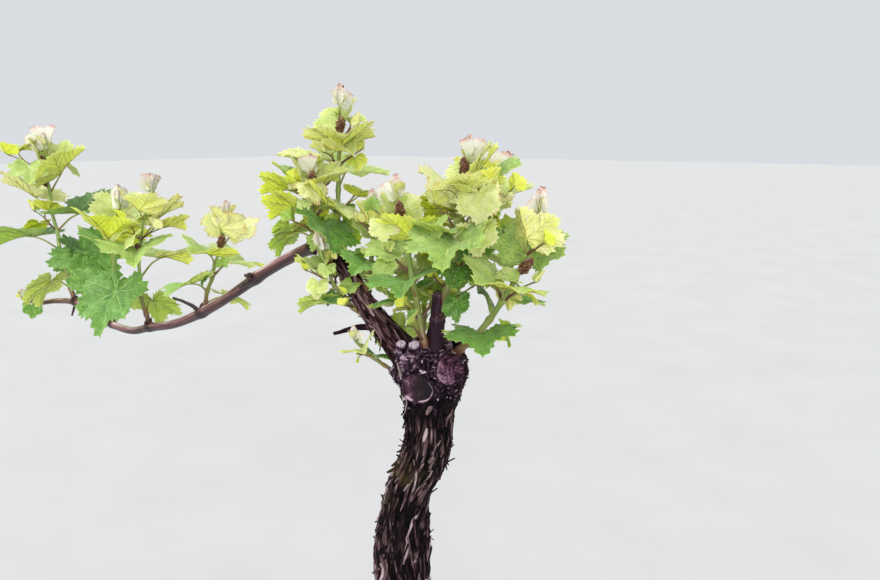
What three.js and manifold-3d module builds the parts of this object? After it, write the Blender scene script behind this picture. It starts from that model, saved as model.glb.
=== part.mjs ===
// A trained grapevine in late spring: a gnarled old trunk with a burred head and pruning cuts, an old arm,
// one fruiting cane bent over and brought down low, and green shoots with lobed leaves and flower buds.
// Millimetres, +Z up. The origin is the centre of the flat cut at ground level, and the cane reaches
// towards -X. Angles are in degrees, and an azimuth is measured from +X towards +Y.
import * as THREE from "three";
import { mergeVertices } from "three/addons/utils/BufferGeometryUtils.js";
import Module from "manifold-3d";

const wasm = await Module();
wasm.setup();

// Driving dimensions
const CLEARANCE = 0.45; // between one piece and the next
const TRUNK_SIDES = 12;
const LIMB_SIDES = 8;
const STEM_SIDES = 5;
const STEM_TAPER = 0.42; // a shoot's tip radius over its foot radius
const BARK = { color: "#3a2d31", roughness: 0.9 };
const CANE_BARK = { color: "#7a4a3c", roughness: 0.8 };
const GREEN = { color: "#9fc23a", roughness: 0.6 };

// Up the middle of the trunk: x, y, z and radius
const TRUNK = [
  [0, 0, -24, 58],
  [0, 0, 0, 50],
  [0, 1, 26, 39],
  [-2, 3, 75, 33],
  [-6, 6, 150, 30],
  [-14, 7, 260, 29],
  [-26, 3, 390, 29],
  [-32, -1, 500, 30],
  [-33, -2, 566, 28],
  [-30, -1, 610, 23],
  [-22, 0, 638, 22],
  [-9, 1, 664, 24],
  [-1, 0, 692, 23],
  [1, 0, 722, 24],
  [3, 0, 744, 29],
  [4, 0, 765, 34],
  [3, 0, 782, 32],
  [2, 0, 795, 17],
];
// Shallow furrows turn by twist over twistHeight, and the foot flares into root ridges
const FURROWS = { lobes: 3, depth: 0.08, twist: 150, twistHeight: 600 };
const ROOTS = { ridges: 5, flare: 0.13, height: 70 };
const BURR = { centre: [3, 1, 765], size: [37, 33, 29], bumps: 0.09, waves: [4.1, 3.7, 5.3] };

// Stubs on the head, each from a point inside it to the middle of its cut face. radii are those of its two
// ends, and flat is how far the stub is flattened.
const STUBS = [
  { from: [12, 2, 768], to: [41, -18, 777], radii: [19, 13], flat: 1.06 },
  { from: [6, -4, 760], to: [16, -36, 756], radii: [21, 15.5], flat: 0.78 },
  { from: [1, -20, 779], to: [5, -26, 798], radii: [8, 5.5], flat: 0.9 },
  { from: [-15, -21, 777], to: [-11, -26, 796], radii: [7.5, 5], flat: 0.9 },
  { from: [-10, 8, 770], to: [-24, 30, 778], radii: [14, 9], flat: 0.9 },
  { from: [20, 6, 770], to: [22, 20, 800], radii: [10, 6], flat: 0.9 },
];

// The arm and the cane are one line of x, y, z and radius, parted at the top of the bend and where the
// cane levels out
const OLD_LINE = [
  [-14, -2, 770, 16],
  [-42, -3, 791, 12.5],
  [-66, -2, 810, 10],
  [-87, 0, 830, 8.6],
  [-107, 0, 855, 7.6],
  [-127, 0, 871, 7],
  [-150, 0, 873, 6.9],
  [-200, 0, 853, 6.6],
  [-251, 0, 827, 6.5],
  [-305, 0, 797, 6.2],
  [-361, 0, 769, 6.2],
  [-425, 0, 744, 5.9],
  [-483, 0, 730, 5.7],
  [-537, 0, 717, 5.3],
  [-610, 0, 722, 5],
  [-684, 0, 737, 4.7],
  [-745, 0, 732, 4.3],
  [-801, 0, 722, 4],
  [-848, 0, 722, 3.4],
];
const ARM_END = 6; // stations of OLD_LINE where one piece ends and the next starts
const ARCH_END = 13;
const NODE_SWELL = { places: [-150, -251, -361, -483, -583, -684, -801], widening: 0.217, reach: 9 };

// Short dry twigs left by pruning, from their foot inside a limb to their tip
const DRY_TWIGS = [
  { on: "arm", from: [-52, -3, 799], to: [-112, -14, 786], radii: [4, 1.8] },
  { on: "cane_arch", from: [-251, 0, 827], to: [-262, -17, 817], radii: [3, 1.6] },
  { on: "cane_arch", from: [-361, 0, 769], to: [-400, -14, 786], radii: [2.8, 1.5] },
  { on: "cane_end", from: [-684, 0, 737], to: [-689, -6, 717], radii: [2.4, 1.2] },
];

// Two spurs of last year's wood stand on the head: foot, middle and tip with radii
const SPURS = {
  spur_front: [
    [14, -6, 782, 9.5],
    [17, -7, 806, 7.4],
    [21, -8, 846, 6.3],
  ],
  spur_back: [
    [-4, 16, 780, 9],
    [-6, 24, 806, 7],
    [-4, 30, 838, 5.8],
  ],
};

// Green shoots. The stem runs from foot to tip, and bow is how far its middle stands off the straight
// line. side is the azimuth that the lowest leaf grows towards, and the next grows the other way. blade is
// the largest midrib's length, and open tilts every blade up. bare lists the nodes whose leaf would touch
// a neighbour and is left off, and buds lists the nodes with a bunch of flower buds across the stem.
const SHOOTS = [
  {
    name: "shoot_cane_tip", foot: [-801, 0, 722], bow: [0, -4, -3], tip: [-804, -26, 735],
    girth: 1.8, leaves: 3, side: -40, blade: 24, open: -10,
    bare: [], buds: [], seed: 170,
  },
  {
    name: "shoot_cane_4", foot: [-684, 0, 737], bow: [-16, 0, 0], tip: [-727, 0, 975],
    girth: 3.6, leaves: 8, side: -160, blade: 70, open: 10,
    bare: [], buds: [5], seed: 153,
  },
  {
    name: "shoot_cane_3", foot: [-583, 0, 719], bow: [-5, 0, 0], tip: [-530, 0, 897],
    girth: 3.2, leaves: 6, side: 140, blade: 66, open: 14,
    bare: [], buds: [4], seed: 197,
  },
  {
    name: "shoot_cane_2", foot: [-483, 0, 730], bow: [-30, 0, -6], tip: [-450, 0, 920],
    girth: 3.2, leaves: 7, side: 120, blade: 60, open: 0,
    bare: [], buds: [5], seed: 295,
  },
  {
    name: "shoot_cane_1", foot: [-361, 0, 769], bow: [1, 0, 0], tip: [-298, 0, 894],
    girth: 2.9, leaves: 7, side: 100, blade: 46, open: 16,
    bare: [], buds: [], seed: 260,
  },
  {
    name: "shoot_bend_1", foot: [-144, -1, 874], bow: [4, -6, 0], tip: [-142, -10, 950],
    girth: 3, leaves: 8, side: -180, blade: 42, open: 0,
    bare: [], buds: [], seed: 27,
  },
  {
    name: "shoot_bend_2", foot: [-118, 0, 864], bow: [-14, 14, 0], tip: [-119, 12, 1020],
    girth: 3.2, leaves: 6, side: 140, blade: 50, open: 6,
    bare: [1], buds: [5], seed: 202,
  },
  {
    name: "shoot_arm_1", foot: [-80, 0, 824], bow: [4, 0, 0], tip: [-66, 0, 920],
    girth: 3.2, leaves: 5, side: 120, blade: 34, open: 20,
    bare: [], buds: [], seed: 197,
  },
  {
    name: "shoot_arm_2", foot: [-60, -4, 804], bow: [-10, -2, -10], tip: [-122, -20, 878],
    girth: 2.8, leaves: 6, side: 20, blade: 37, open: 10,
    bare: [0, 2], buds: [], seed: 40,
  },
  {
    name: "shoot_head_1", foot: [10, -14, 782], bow: [2, 0, 0], tip: [-20, -20, 933],
    girth: 3.6, leaves: 7, side: -40, blade: 45, open: 8,
    bare: [0], buds: [], seed: 287,
  },
  {
    name: "shoot_head_2", foot: [20, -8, 820], bow: [3, 0, -4], tip: [56, -10, 968],
    girth: 3.4, leaves: 8, side: 100, blade: 52, open: -4,
    bare: [0, 1], buds: [6], seed: 251,
  },
  {
    name: "shoot_head_3", foot: [26, 2, 782], bow: [9, 0, -12], tip: [120, 0, 925],
    girth: 3.6, leaves: 7, side: 100, blade: 46, open: 20,
    bare: [], buds: [5], seed: 139,
  },
  {
    name: "shoot_head_4", foot: [-14, -14, 760], bow: [0, 0, -6], tip: [-74, -24, 788],
    girth: 2.2, leaves: 4, side: -60, blade: 27, open: -10,
    bare: [0], buds: [], seed: 160,
  },
  {
    name: "shoot_back_1", foot: [-5, 28, 826], bow: [6, 8, 0], tip: [14, 92, 952],
    girth: 3.2, leaves: 7, side: 40, blade: 50, open: 10,
    bare: [], buds: [4], seed: 264,
  },
  {
    name: "shoot_back_2", foot: [-18, 16, 774], bow: [-8, 10, 0], tip: [-70, 96, 900],
    girth: 3, leaves: 7, side: -180, blade: 50, open: 10,
    bare: [1], buds: [], seed: 39,
  },
];

// How a shoot changes from its newest leaf, at the tip, to its oldest. fold, curl and drop are the blade's
// height at one midrib's length to the side, along and to the side, and petiole is the petiole's length
// over the midrib's.
const NEWEST = { reach: 62, lift: 64, petiole: 0.5, fold: 0.75, curl: 0.12, drop: 0.05 };
const OLDEST = { reach: 28, lift: -44, petiole: 0.85, fold: 0.13, curl: 0.34, drop: 0.15 };
const SPREAD = { heading: 24, reach: 8, lift: 14, size: 0.08, roll: 28 };
const NODE_STANDS_OUT = 1.2;
const FIRST_NODE = 0.75; // its place up the stem, counted in leaves
const LAST_NODE = 0.15; // how far the top node stays below the tip, counted in leaves
const KNEE = 0.6; // where a petiole bends, over its length
const BLADE_WAVE = 0.07;
const BLADE_THICKNESS = 0.019; // over the midrib's length, and a hundredth of the whole blade's or more
const LEAST_THICKNESS = 1;
const BLADE_HEART = [0.1, 0]; // the middle point that a blade's faces meet in
const STALK = { least: 0.8, share: 1 / 120 }; // half of a petiole's width, and its gain with the blade
const TIP = [[0.14, 0.1], [0.3, 0.08], [0.44, 0.015]]; // a stem's closed tip: heights and radii over blade
const BUNCH = [[0, 1.2], [0.45, 1.2], [0.6, 4.2], [0.8, 3.6], [1, 1.4]]; // parts of its length, and radii
const BUNCH_LENGTH = { least: 28, spread: 8 };
const BUNCH_LEAN = 0.35;

// One half of a blade's outline about the end of its petiole: angle from the midrib, and reach over the
// midrib's length. The petiole stands between the two halves.
const FIVE_LOBES = [
  [23, 0.79],
  [46, 0.94],
  [71, 0.75],
  [98, 0.84],
  [142, 0.66],
];
const THREE_LOBES = [
  [26, 0.8],
  [50, 0.92],
  [115, 0.74],
];
const SMALL_BLADE = 30; // blades with a shorter midrib have three lobes

const TOLERANCE = 1e-3;
const FULL_TURN = 6.28;

const rad = THREE.MathUtils.degToRad;
const { lerp } = THREE.MathUtils;
const vec = (p) => new THREE.Vector3(p[0], p[1], p[2]);
const UP = new THREE.Vector3(0, 0, 1);

// A repeatable stream of numbers from 0 to 1
function numbersFrom(seed) {
  let state = (seed * 2654435761) >>> 0;
  return () => {
    state = (state + 0x6d2b79f5) >>> 0;
    let t = Math.imul(state ^ (state >>> 15), state | 1);
    t = (t + Math.imul(t ^ (t >>> 7), t | 61)) ^ t;
    return ((t ^ (t >>> 14)) >>> 0) / 4294967296;
  };
}

// Joining and cutting

// A shape with shared corners, ready to be bent
function sharedCorners(geometry) {
  geometry.deleteAttribute("normal");
  geometry.deleteAttribute("uv");
  return mergeVertices(geometry, TOLERANCE);
}

function solidOf(geometry) {
  return new wasm.Manifold(
    new wasm.Mesh({
      numProp: 3,
      vertProperties: new Float32Array(geometry.attributes.position.array),
      triVerts: new Uint32Array(geometry.index.array),
    }),
  );
}

const join = (solids) => solids.reduce((whole, next) => whole.add(next));

// The biggest body of a solid, without the scraps that a cut leaves
function biggest(solid) {
  return solid.decompose().sort((a, b) => b.volume() - a.volume())[0];
}

function meshOf(name, solid, finish) {
  const { vertProperties, triVerts, numProp } = biggest(solid).getMesh();
  const position = new Float32Array((vertProperties.length / numProp) * 3);
  for (let i = 0; i < position.length / 3; i += 1) {
    position.set(vertProperties.subarray(i * numProp, i * numProp + 3), i * 3);
  }
  const geometry = new THREE.BufferGeometry();
  geometry.setAttribute("position", new THREE.BufferAttribute(position, 3));
  geometry.setIndex(new THREE.BufferAttribute(new Uint32Array(triVerts), 1));
  geometry.computeVertexNormals();
  const mesh = new THREE.Mesh(geometry, new THREE.MeshStandardMaterial({ ...finish, metalness: 0 }));
  mesh.name = name;
  return mesh;
}

// Limbs

// Two directions across a tangent, steady along a limb whose chord they are chosen for
function acrossOf(tangent, reference) {
  const across = reference.clone().addScaledVector(tangent, -reference.dot(tangent)).normalize();
  return [across, across.clone().cross(tangent)];
}

function referenceFor(chord) {
  const steep = Math.abs(chord.y) >= 0.8 * chord.length();
  return steep ? new THREE.Vector3(1, 0, 0) : new THREE.Vector3(0, 1, 0);
}

const round = { sides: LIMB_SIDES, rings: 2, grow: 0, flat: 1, shape: () => 1, start: 0, end: 1 };

// A cylinder bent along stations of [x, y, z, radius], or along the part of them from start to end. It has
// rings per span, shape(angle, point) scales its radius, flat narrows it one way, and grow makes it larger
// all over.
function limb(stations, options) {
  const { sides, rings, grow, flat, shape, start, end } = { ...round, ...options };
  const curve = new THREE.CatmullRomCurve3(stations.map(vec), false, "catmullrom", 0.5);
  const spans = stations.length - 1;
  const steps = Math.max(1, Math.round(spans * (end - start) * rings));
  const reference = referenceFor(vec(stations[spans]).sub(vec(stations[0])));
  const radiusAt = (t) => {
    const i = Math.min(spans - 1, Math.floor(t * spans));
    return lerp(stations[i][3], stations[i + 1][3], t * spans - i);
  };
  const geometry = sharedCorners(new THREE.CylinderGeometry(1, 1, 1, sides, steps));
  const position = geometry.attributes.position;
  for (let i = 0; i < position.count; i += 1) {
    const along = position.getY(i);
    const t = lerp(start, end, along + 0.5);
    const centre = curve.getPoint(t);
    const tangent = curve.getTangent(t);
    const [across, other] = acrossOf(tangent, reference);
    const angle = Math.atan2(position.getZ(i), position.getX(i));
    const radius = radiusAt(t) * shape(angle, centre) + grow;
    centre.addScaledVector(across, position.getX(i) * radius);
    centre.addScaledVector(other, position.getZ(i) * radius * flat);
    if (Math.abs(along) === 0.5) centre.addScaledVector(tangent, Math.sign(along) * grow);
    position.setXYZ(i, centre.x, centre.y, centre.z);
  }
  return solidOf(geometry);
}

function furrows(angle, point) {
  const turn = rad((FURROWS.twist * point.z) / FURROWS.twistHeight);
  const furrow = FURROWS.depth * Math.cos(FURROWS.lobes * angle + turn);
  const flare = ROOTS.flare * Math.exp(-Math.max(0, point.z) / ROOTS.height);
  return 1 + furrow + flare * Math.cos(ROOTS.ridges * angle + 1);
}

function burr(grow) {
  const geometry = sharedCorners(new THREE.IcosahedronGeometry(1, 3));
  const position = geometry.attributes.position;
  const [a, b, c] = BURR.size;
  const [u, v, w] = BURR.waves;
  for (let i = 0; i < position.count; i += 1) {
    const p = new THREE.Vector3().fromBufferAttribute(position, i);
    const bump = 1 + BURR.bumps * Math.sin(u * p.x + 1) * Math.cos(v * p.y) * Math.cos(w * p.z + 0.6);
    position.setXYZ(i, p.x * (a * bump + grow), p.y * (b * bump + grow), p.z * (c * bump + grow));
  }
  geometry.translate(...BURR.centre);
  return solidOf(geometry);
}

function stub({ from, to, radii, flat = 1 }, grow = 0, sides = 10) {
  return limb([[...from, radii[0]], [...to, radii[1]]], { sides, rings: 1, grow, flat });
}

function trunk(grow) {
  const whole = join([
    limb(TRUNK, { sides: TRUNK_SIDES, grow, shape: furrows }),
    burr(grow),
    ...STUBS.map((s) => stub(s, grow)),
  ]);
  const wide = 8 * TRUNK[0][3];
  const below = sharedCorners(new THREE.BoxGeometry(wide, wide, wide));
  below.translate(0, 0, -wide / 2);
  return whole.subtract(solidOf(below));
}

function swell(angle, point) {
  const near = NODE_SWELL.places.map((x) => Math.exp(-(((point.x - x) / NODE_SWELL.reach) ** 2)));
  return 1 + NODE_SWELL.widening * Math.max(...near);
}

// One piece of the old line between two stations, with its dry twigs
function oldWood(name, first, last, grow = 0) {
  const spans = OLD_LINE.length - 1;
  const firstSpan = vec(OLD_LINE[first]).distanceTo(vec(OLD_LINE[first + 1]));
  const gap = first === 0 ? 0 : CLEARANCE / firstSpan / spans;
  const line = limb(OLD_LINE, { grow, shape: swell, start: first / spans + gap, end: last / spans });
  const twigs = DRY_TWIGS.filter((t) => t.on === name);
  return join([line, ...twigs.map((t) => stub(t, grow, STEM_SIDES))]);
}

// Leaves, buds and shoots

// How high the blade stands over its own plane at x along the midrib and y to the side, all over the
// midrib's length
function bladeHeight(x, y, leaf) {
  const out = Math.hypot(x, y);
  const wave = Math.sin(3 * Math.atan2(y, x) + leaf.phase) * out * out;
  return leaf.fold * Math.abs(y) - leaf.curl * x * Math.abs(x) - leaf.drop * y * y + BLADE_WAVE * wave;
}

// The points round a blade, from one side of its petiole past the tip to the other
function rimOf(leaf) {
  const half = leaf.size < SMALL_BLADE ? THREE_LOBES : FIVE_LOBES;
  const base = [0, leaf.stalk / leaf.size];
  const left = half.map(([angle, reach]) => [reach * Math.cos(rad(angle)), reach * Math.sin(rad(angle))]);
  const mirrored = ([x, y]) => [x, -y];
  return [base, ...left.toReversed(), [1, 0], ...left.map(mirrored), mirrored(base)];
}

// The four corners of a petiole at a point on its way
function petioleRing(leaf, at, direction) {
  const side = acrossOf(direction, leaf.side)[0].multiplyScalar(leaf.stalk);
  const up = direction.clone().cross(side);
  const corner = (a, b) => at.clone().addScaledVector(side, a).addScaledVector(up, b);
  return [corner(1, 1), corner(-1, 1), corner(-1, -1), corner(1, -1)];
}

// A blade with its petiole, one closed plate: upper points, then lower points, then the petiole's rings
function leafSolid(leaf) {
  const thickness = Math.max(LEAST_THICKNESS, BLADE_THICKNESS * leaf.size);
  const points = [BLADE_HEART, ...rimOf(leaf)];
  const count = points.length;
  const place = ([x, y], drop) =>
    leaf.at
      .clone()
      .addScaledVector(leaf.along, x * leaf.size)
      .addScaledVector(leaf.side, y * leaf.size)
      .addScaledVector(leaf.normal, bladeHeight(x, y, leaf) * leaf.size - drop);
  const vertices = [-0.5, 0.5].flatMap((drop) => points.map((p) => place(p, drop * thickness)));
  const index = [];
  const quad = (a, b, c, d) => index.push(a, b, c, a, c, d);
  for (let i = 1; i < count; i += 1) {
    const j = (i % (count - 1)) + 1;
    index.push(0, j, i, count, count + i, count + j);
    if (j > i) quad(i, j, count + j, count + i);
  }
  let ring = [1, count - 1, 2 * count - 1, count + 1];
  for (const [at, direction] of leaf.petiole) {
    const first = vertices.length;
    vertices.push(...petioleRing(leaf, at, direction));
    const next = [first, first + 1, first + 2, first + 3];
    next.forEach((corner, k) => quad(ring[(k + 1) % 4], ring[k], corner, next[(k + 1) % 4]));
    ring = next;
  }
  quad(...ring.reverse());
  const geometry = new THREE.BufferGeometry();
  const position = new Float32Array(vertices.flatMap((v) => v.toArray()));
  geometry.setAttribute("position", new THREE.BufferAttribute(position, 3));
  geometry.setIndex(index);
  return solidOf(geometry);
}

// A bunch of closed flower buds on its stalk
function bunch({ node, direction, length }) {
  const stations = BUNCH.map(([part, radius]) => {
    const centre = node.clone().addScaledVector(direction, part * length);
    return [...centre.toArray(), radius];
  });
  return limb(stations, { sides: STEM_SIDES, rings: 1 });
}

// A blade's size over that of the shoot's largest, which grows a little above the foot
function fullness(age) {
  return Math.sin(Math.PI * (0.87 - 0.6 * age)) ** 0.9;
}

// Where a blade lies, and the way of the petiole that carries it
function leafPlan({ node, reach, midrib, roll, length, ...rest }) {
  const level = new THREE.Vector3(midrib.y, -midrib.x, 0).normalize();
  const normal = level.clone().cross(midrib).applyAxisAngle(midrib, roll);
  const side = normal.clone().cross(midrib);
  const knee = node.clone().addScaledVector(reach, KNEE * length);
  const entry = reach.clone().add(midrib).normalize();
  const at = knee.clone().addScaledVector(entry, (1 - KNEE) * length);
  const turn = reach.clone().add(entry).normalize();
  return { at, along: midrib, normal, side, petiole: [[knee, turn], [node, reach]], ...rest };
}

// A direction part of the way up from one to another across it
function between(flat, up, angle) {
  return flat.clone().multiplyScalar(Math.cos(angle)).addScaledVector(up, Math.sin(angle));
}

// Everything about one shoot, worked out from its row of SHOOTS
function shootPlan(shoot) {
  const next = numbersFrom(shoot.seed);
  const spread = (reach) => (next() * 2 - 1) * reach;
  const foot = vec(shoot.foot);
  const tip = vec(shoot.tip);
  const middle = foot.clone().lerp(tip, 0.5).addScaledVector(vec(shoot.bow), 2);
  const bend = new THREE.QuadraticBezierCurve3(foot, middle, tip);
  const stem = [foot];
  const leaves = [];
  const bunches = [];
  for (let i = 0; i < shoot.leaves; i += 1) {
    const age = 1 - i / (shoot.leaves - 1);
    const aged = (key) => lerp(NEWEST[key], OLDEST[key], age);
    const heading = rad(shoot.side + 180 * (i % 2) + spread(SPREAD.heading));
    const out = new THREE.Vector3(Math.cos(heading), Math.sin(heading), 0);
    const t = (i + FIRST_NODE) / (shoot.leaves + LAST_NODE);
    const rise = bend.getTangent(t);
    const node = bend.getPoint(t).addScaledVector(out, NODE_STANDS_OUT);
    const angle = rad(aged("reach") + spread(SPREAD.reach));
    const lift = rad(aged("lift") + shoot.open + spread(SPREAD.lift));
    const size = shoot.blade * fullness(age) * (1 + spread(SPREAD.size));
    const leaf = leafPlan({
      node,
      reach: between(out, rise, angle).normalize(),
      midrib: between(out, UP, lift),
      roll: rad(spread(SPREAD.roll)),
      length: size * aged("petiole"),
      size,
      stalk: STALK.least + STALK.share * size,
      fold: aged("fold"),
      curl: aged("curl"),
      drop: aged("drop"),
      phase: next() * FULL_TURN,
    });
    if (!shoot.bare.includes(i)) leaves.push(leaf);
    if (shoot.buds.includes(i)) {
      const direction = rise.clone().addScaledVector(out, -BUNCH_LEAN).normalize();
      bunches.push({ node, direction, length: BUNCH_LENGTH.least + BUNCH_LENGTH.spread * next() });
    }
    stem.push(node);
  }
  stem.push(tip);
  return { stem, leaves, bunches };
}

// The stem with its closed tip, the leaves and the buds in one piece
function shootSolid(shoot, plan) {
  const last = plan.stem.length - 1;
  const thinning = (i) => shoot.girth * lerp(1, STEM_TAPER, i / last);
  const stations = plan.stem.map((p, i) => [...p.toArray(), thinning(i)]);
  for (const [height, radius] of TIP) {
    const p = plan.stem[last].clone().addScaledVector(UP, height * shoot.blade);
    stations.push([...p.toArray(), radius * shoot.blade]);
  }
  const stem = limb(stations, { sides: STEM_SIDES, rings: 1 });
  return join([stem, ...plan.leaves.map(leafSolid), ...plan.bunches.map(bunch)]);
}

// The plant

const limbs = {
  trunk: trunk(0),
  arm: oldWood("arm", 0, ARM_END),
  cane_arch: oldWood("cane_arch", ARM_END, ARCH_END),
  cane_end: oldWood("cane_end", ARCH_END, OLD_LINE.length - 1),
};
const trunkRoom = trunk(CLEARANCE);
limbs.arm = limbs.arm.subtract(trunkRoom);
const spurRooms = [];
for (const [name, line] of Object.entries(SPURS)) {
  limbs[name] = limb(line, { rings: 3 }).subtract(trunkRoom);
  spurRooms.push(limb(line, { rings: 3, grow: CLEARANCE }));
}
const woodRoom = join([trunkRoom, oldWood("arm", 0, ARM_END, CLEARANCE), ...spurRooms]);
const caneRoom = join([
  oldWood("cane_arch", ARM_END, ARCH_END, CLEARANCE),
  oldWood("cane_end", ARCH_END, OLD_LINE.length - 1, CLEARANCE),
]);

const vine = new THREE.Group();
for (const [name, solid] of Object.entries(limbs)) {
  vine.add(meshOf(name, solid, name.startsWith("cane") ? CANE_BARK : BARK));
}
for (const shoot of SHOOTS) {
  const solid = shootSolid(shoot, shootPlan(shoot)).subtract(woodRoom).subtract(caneRoom);
  vine.add(meshOf(shoot.name, solid, GREEN));
}

export default vine;
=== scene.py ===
# The looks of a trained grapevine in late spring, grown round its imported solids.
# Lengths are millimetres until a mesh is made. +Z is up, the cane reaches towards -X, angles are in degrees,
# and a heading is measured from +X towards +Y.
import math
from collections import namedtuple

import bmesh
import bpy
import numpy as np
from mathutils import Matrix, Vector, noise
from mathutils.bvhtree import BVHTree


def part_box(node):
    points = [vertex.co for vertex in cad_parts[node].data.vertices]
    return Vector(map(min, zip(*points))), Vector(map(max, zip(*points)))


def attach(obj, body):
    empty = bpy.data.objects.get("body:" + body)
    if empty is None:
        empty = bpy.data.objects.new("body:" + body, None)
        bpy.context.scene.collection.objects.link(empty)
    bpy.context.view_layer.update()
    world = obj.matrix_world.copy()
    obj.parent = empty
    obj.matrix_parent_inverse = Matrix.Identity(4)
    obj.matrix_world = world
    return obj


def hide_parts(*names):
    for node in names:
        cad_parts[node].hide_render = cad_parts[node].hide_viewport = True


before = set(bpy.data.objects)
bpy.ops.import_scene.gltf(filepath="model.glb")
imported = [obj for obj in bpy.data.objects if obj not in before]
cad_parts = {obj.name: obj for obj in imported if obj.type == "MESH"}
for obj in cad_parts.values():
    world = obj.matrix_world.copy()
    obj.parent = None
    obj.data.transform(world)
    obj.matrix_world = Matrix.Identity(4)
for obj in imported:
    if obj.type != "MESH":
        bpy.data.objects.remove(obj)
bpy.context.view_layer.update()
scene = bpy.context.scene
MM = 0.001

# Camera: its turn is from +Y towards -X, and its fall is below the level
FOCAL_PIXELS, PHOTO_WIDTH, SENSOR = 700, 880, 36
CAMERA_PLACE = (0.39738, -0.52483, 0.98776)
CAMERA_TURN, CAMERA_FALL = 36, 12.2512


def new_object(name, data):
    made = bpy.data.objects.new(name, data)
    scene.collection.objects.link(made)
    return made


def make_camera():
    data = bpy.data.cameras.new("camera")
    data.sensor_width = SENSOR
    data.lens = FOCAL_PIXELS * SENSOR / PHOTO_WIDTH
    data.clip_start = 0.01
    camera = new_object("camera", data)
    turn, fall = math.radians(CAMERA_TURN), math.radians(CAMERA_FALL)
    view = Vector((-math.sin(turn) * math.cos(fall), math.cos(turn) * math.cos(fall), -math.sin(fall)))
    camera.location = CAMERA_PLACE
    camera.rotation_euler = view.to_track_quat("-Z", "Y").to_euler()
    scene.camera = camera


make_camera()

# The limbs, as in the part's source: rows of x, y, z and radius
TRUNK = [
    (0, 0, -24, 58), (0, 0, 0, 50), (0, 1, 26, 39), (-2, 3, 75, 33), (-6, 6, 150, 30), (-14, 7, 260, 29),
    (-26, 3, 390, 29), (-32, -1, 500, 30), (-33, -2, 566, 28), (-30, -1, 610, 23), (-22, 0, 638, 22),
    (-9, 1, 664, 24), (-1, 0, 692, 23), (1, 0, 722, 24), (3, 0, 744, 29), (4, 0, 765, 34), (3, 0, 782, 32),
    (2, 0, 795, 17),
]
FURROW_LOBES, FURROW_DEPTH, FURROW_TWIST = 3, 0.08, 150 / 600
FLARE, FLARE_HEIGHT, FLARE_LOBES = 0.13, 70, 5
BURR_CENTRE, BURR_SIZE, BURR_BUMPS = (3, 1, 765), (37, 33, 29), 0.09
# Stubs on the head: foot, middle of the cut face, the two radii and how far the stub is flattened
STUBS = {
    "right": ((12, 2, 768), (41, -18, 777), (19, 13), 1.06),
    "left": ((6, -4, 761), (16, -36, 758), (21, 15.5), 0.92),
    "top_1": ((1, -20, 779), (5, -26, 798), (8, 5.5), 0.9),
    "top_2": ((-15, -21, 777), (-11, -26, 796), (7.5, 5), 0.9),
    "back": ((-10, 8, 770), (-24, 30, 778), (14, 9), 0.9),
    "side": ((20, 6, 770), (22, 20, 800), (10, 6), 0.9),
}
OLD_LINE = [
    (-14, -2, 770, 16), (-42, -3, 791, 12.5), (-66, -2, 810, 10), (-87, 0, 830, 8.6), (-107, 0, 855, 7.6),
    (-127, 0, 871, 7), (-150, 0, 873, 6.9), (-200, 0, 853, 6.6), (-251, 0, 827, 6.5), (-305, 0, 797, 6.2),
    (-361, 0, 769, 6.2), (-425, 0, 744, 5.9), (-483, 0, 730, 5.7), (-537, 0, 717, 5.3), (-610, 0, 722, 5),
    (-684, 0, 737, 4.7), (-745, 0, 732, 4.3), (-801, 0, 722, 4), (-848, 0, 722, 3.4),
]
ARM_END, ARCH_END = 6, 13
# The swellings on the cane: where along X, their height over the cane's radius there, and their reach
CANE_NODES, NODE_HEIGHT, NODE_REACH, CANE_RADIUS = (-150, -251, -361, -483, -583, -684, -801), 1.3, 9, 6
# Dry twigs on the limbs: foot, tip and the radii of both
DRY_TWIGS = {
    "arm": [((-52, -3, 799), (-112, -14, 786), (4, 1.8))],
    "cane_arch": [
        ((-251, 0, 827), (-262, -17, 817), (3, 1.6)),
        ((-361, 0, 769), (-400, -14, 786), (2.8, 1.5)),
    ],
    "cane_end": [((-684, 0, 737), (-689, -6, 717), (2.4, 1.2))],
}
SPURS = {
    "spur_front": [(14, -6, 782, 9.5), (17, -7, 806, 7.4), (21, -8, 846, 6.3)],
    "spur_back": [(-4, 16, 780, 9), (-6, 24, 806, 7), (-4, 30, 838, 5.8)],
}

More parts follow.
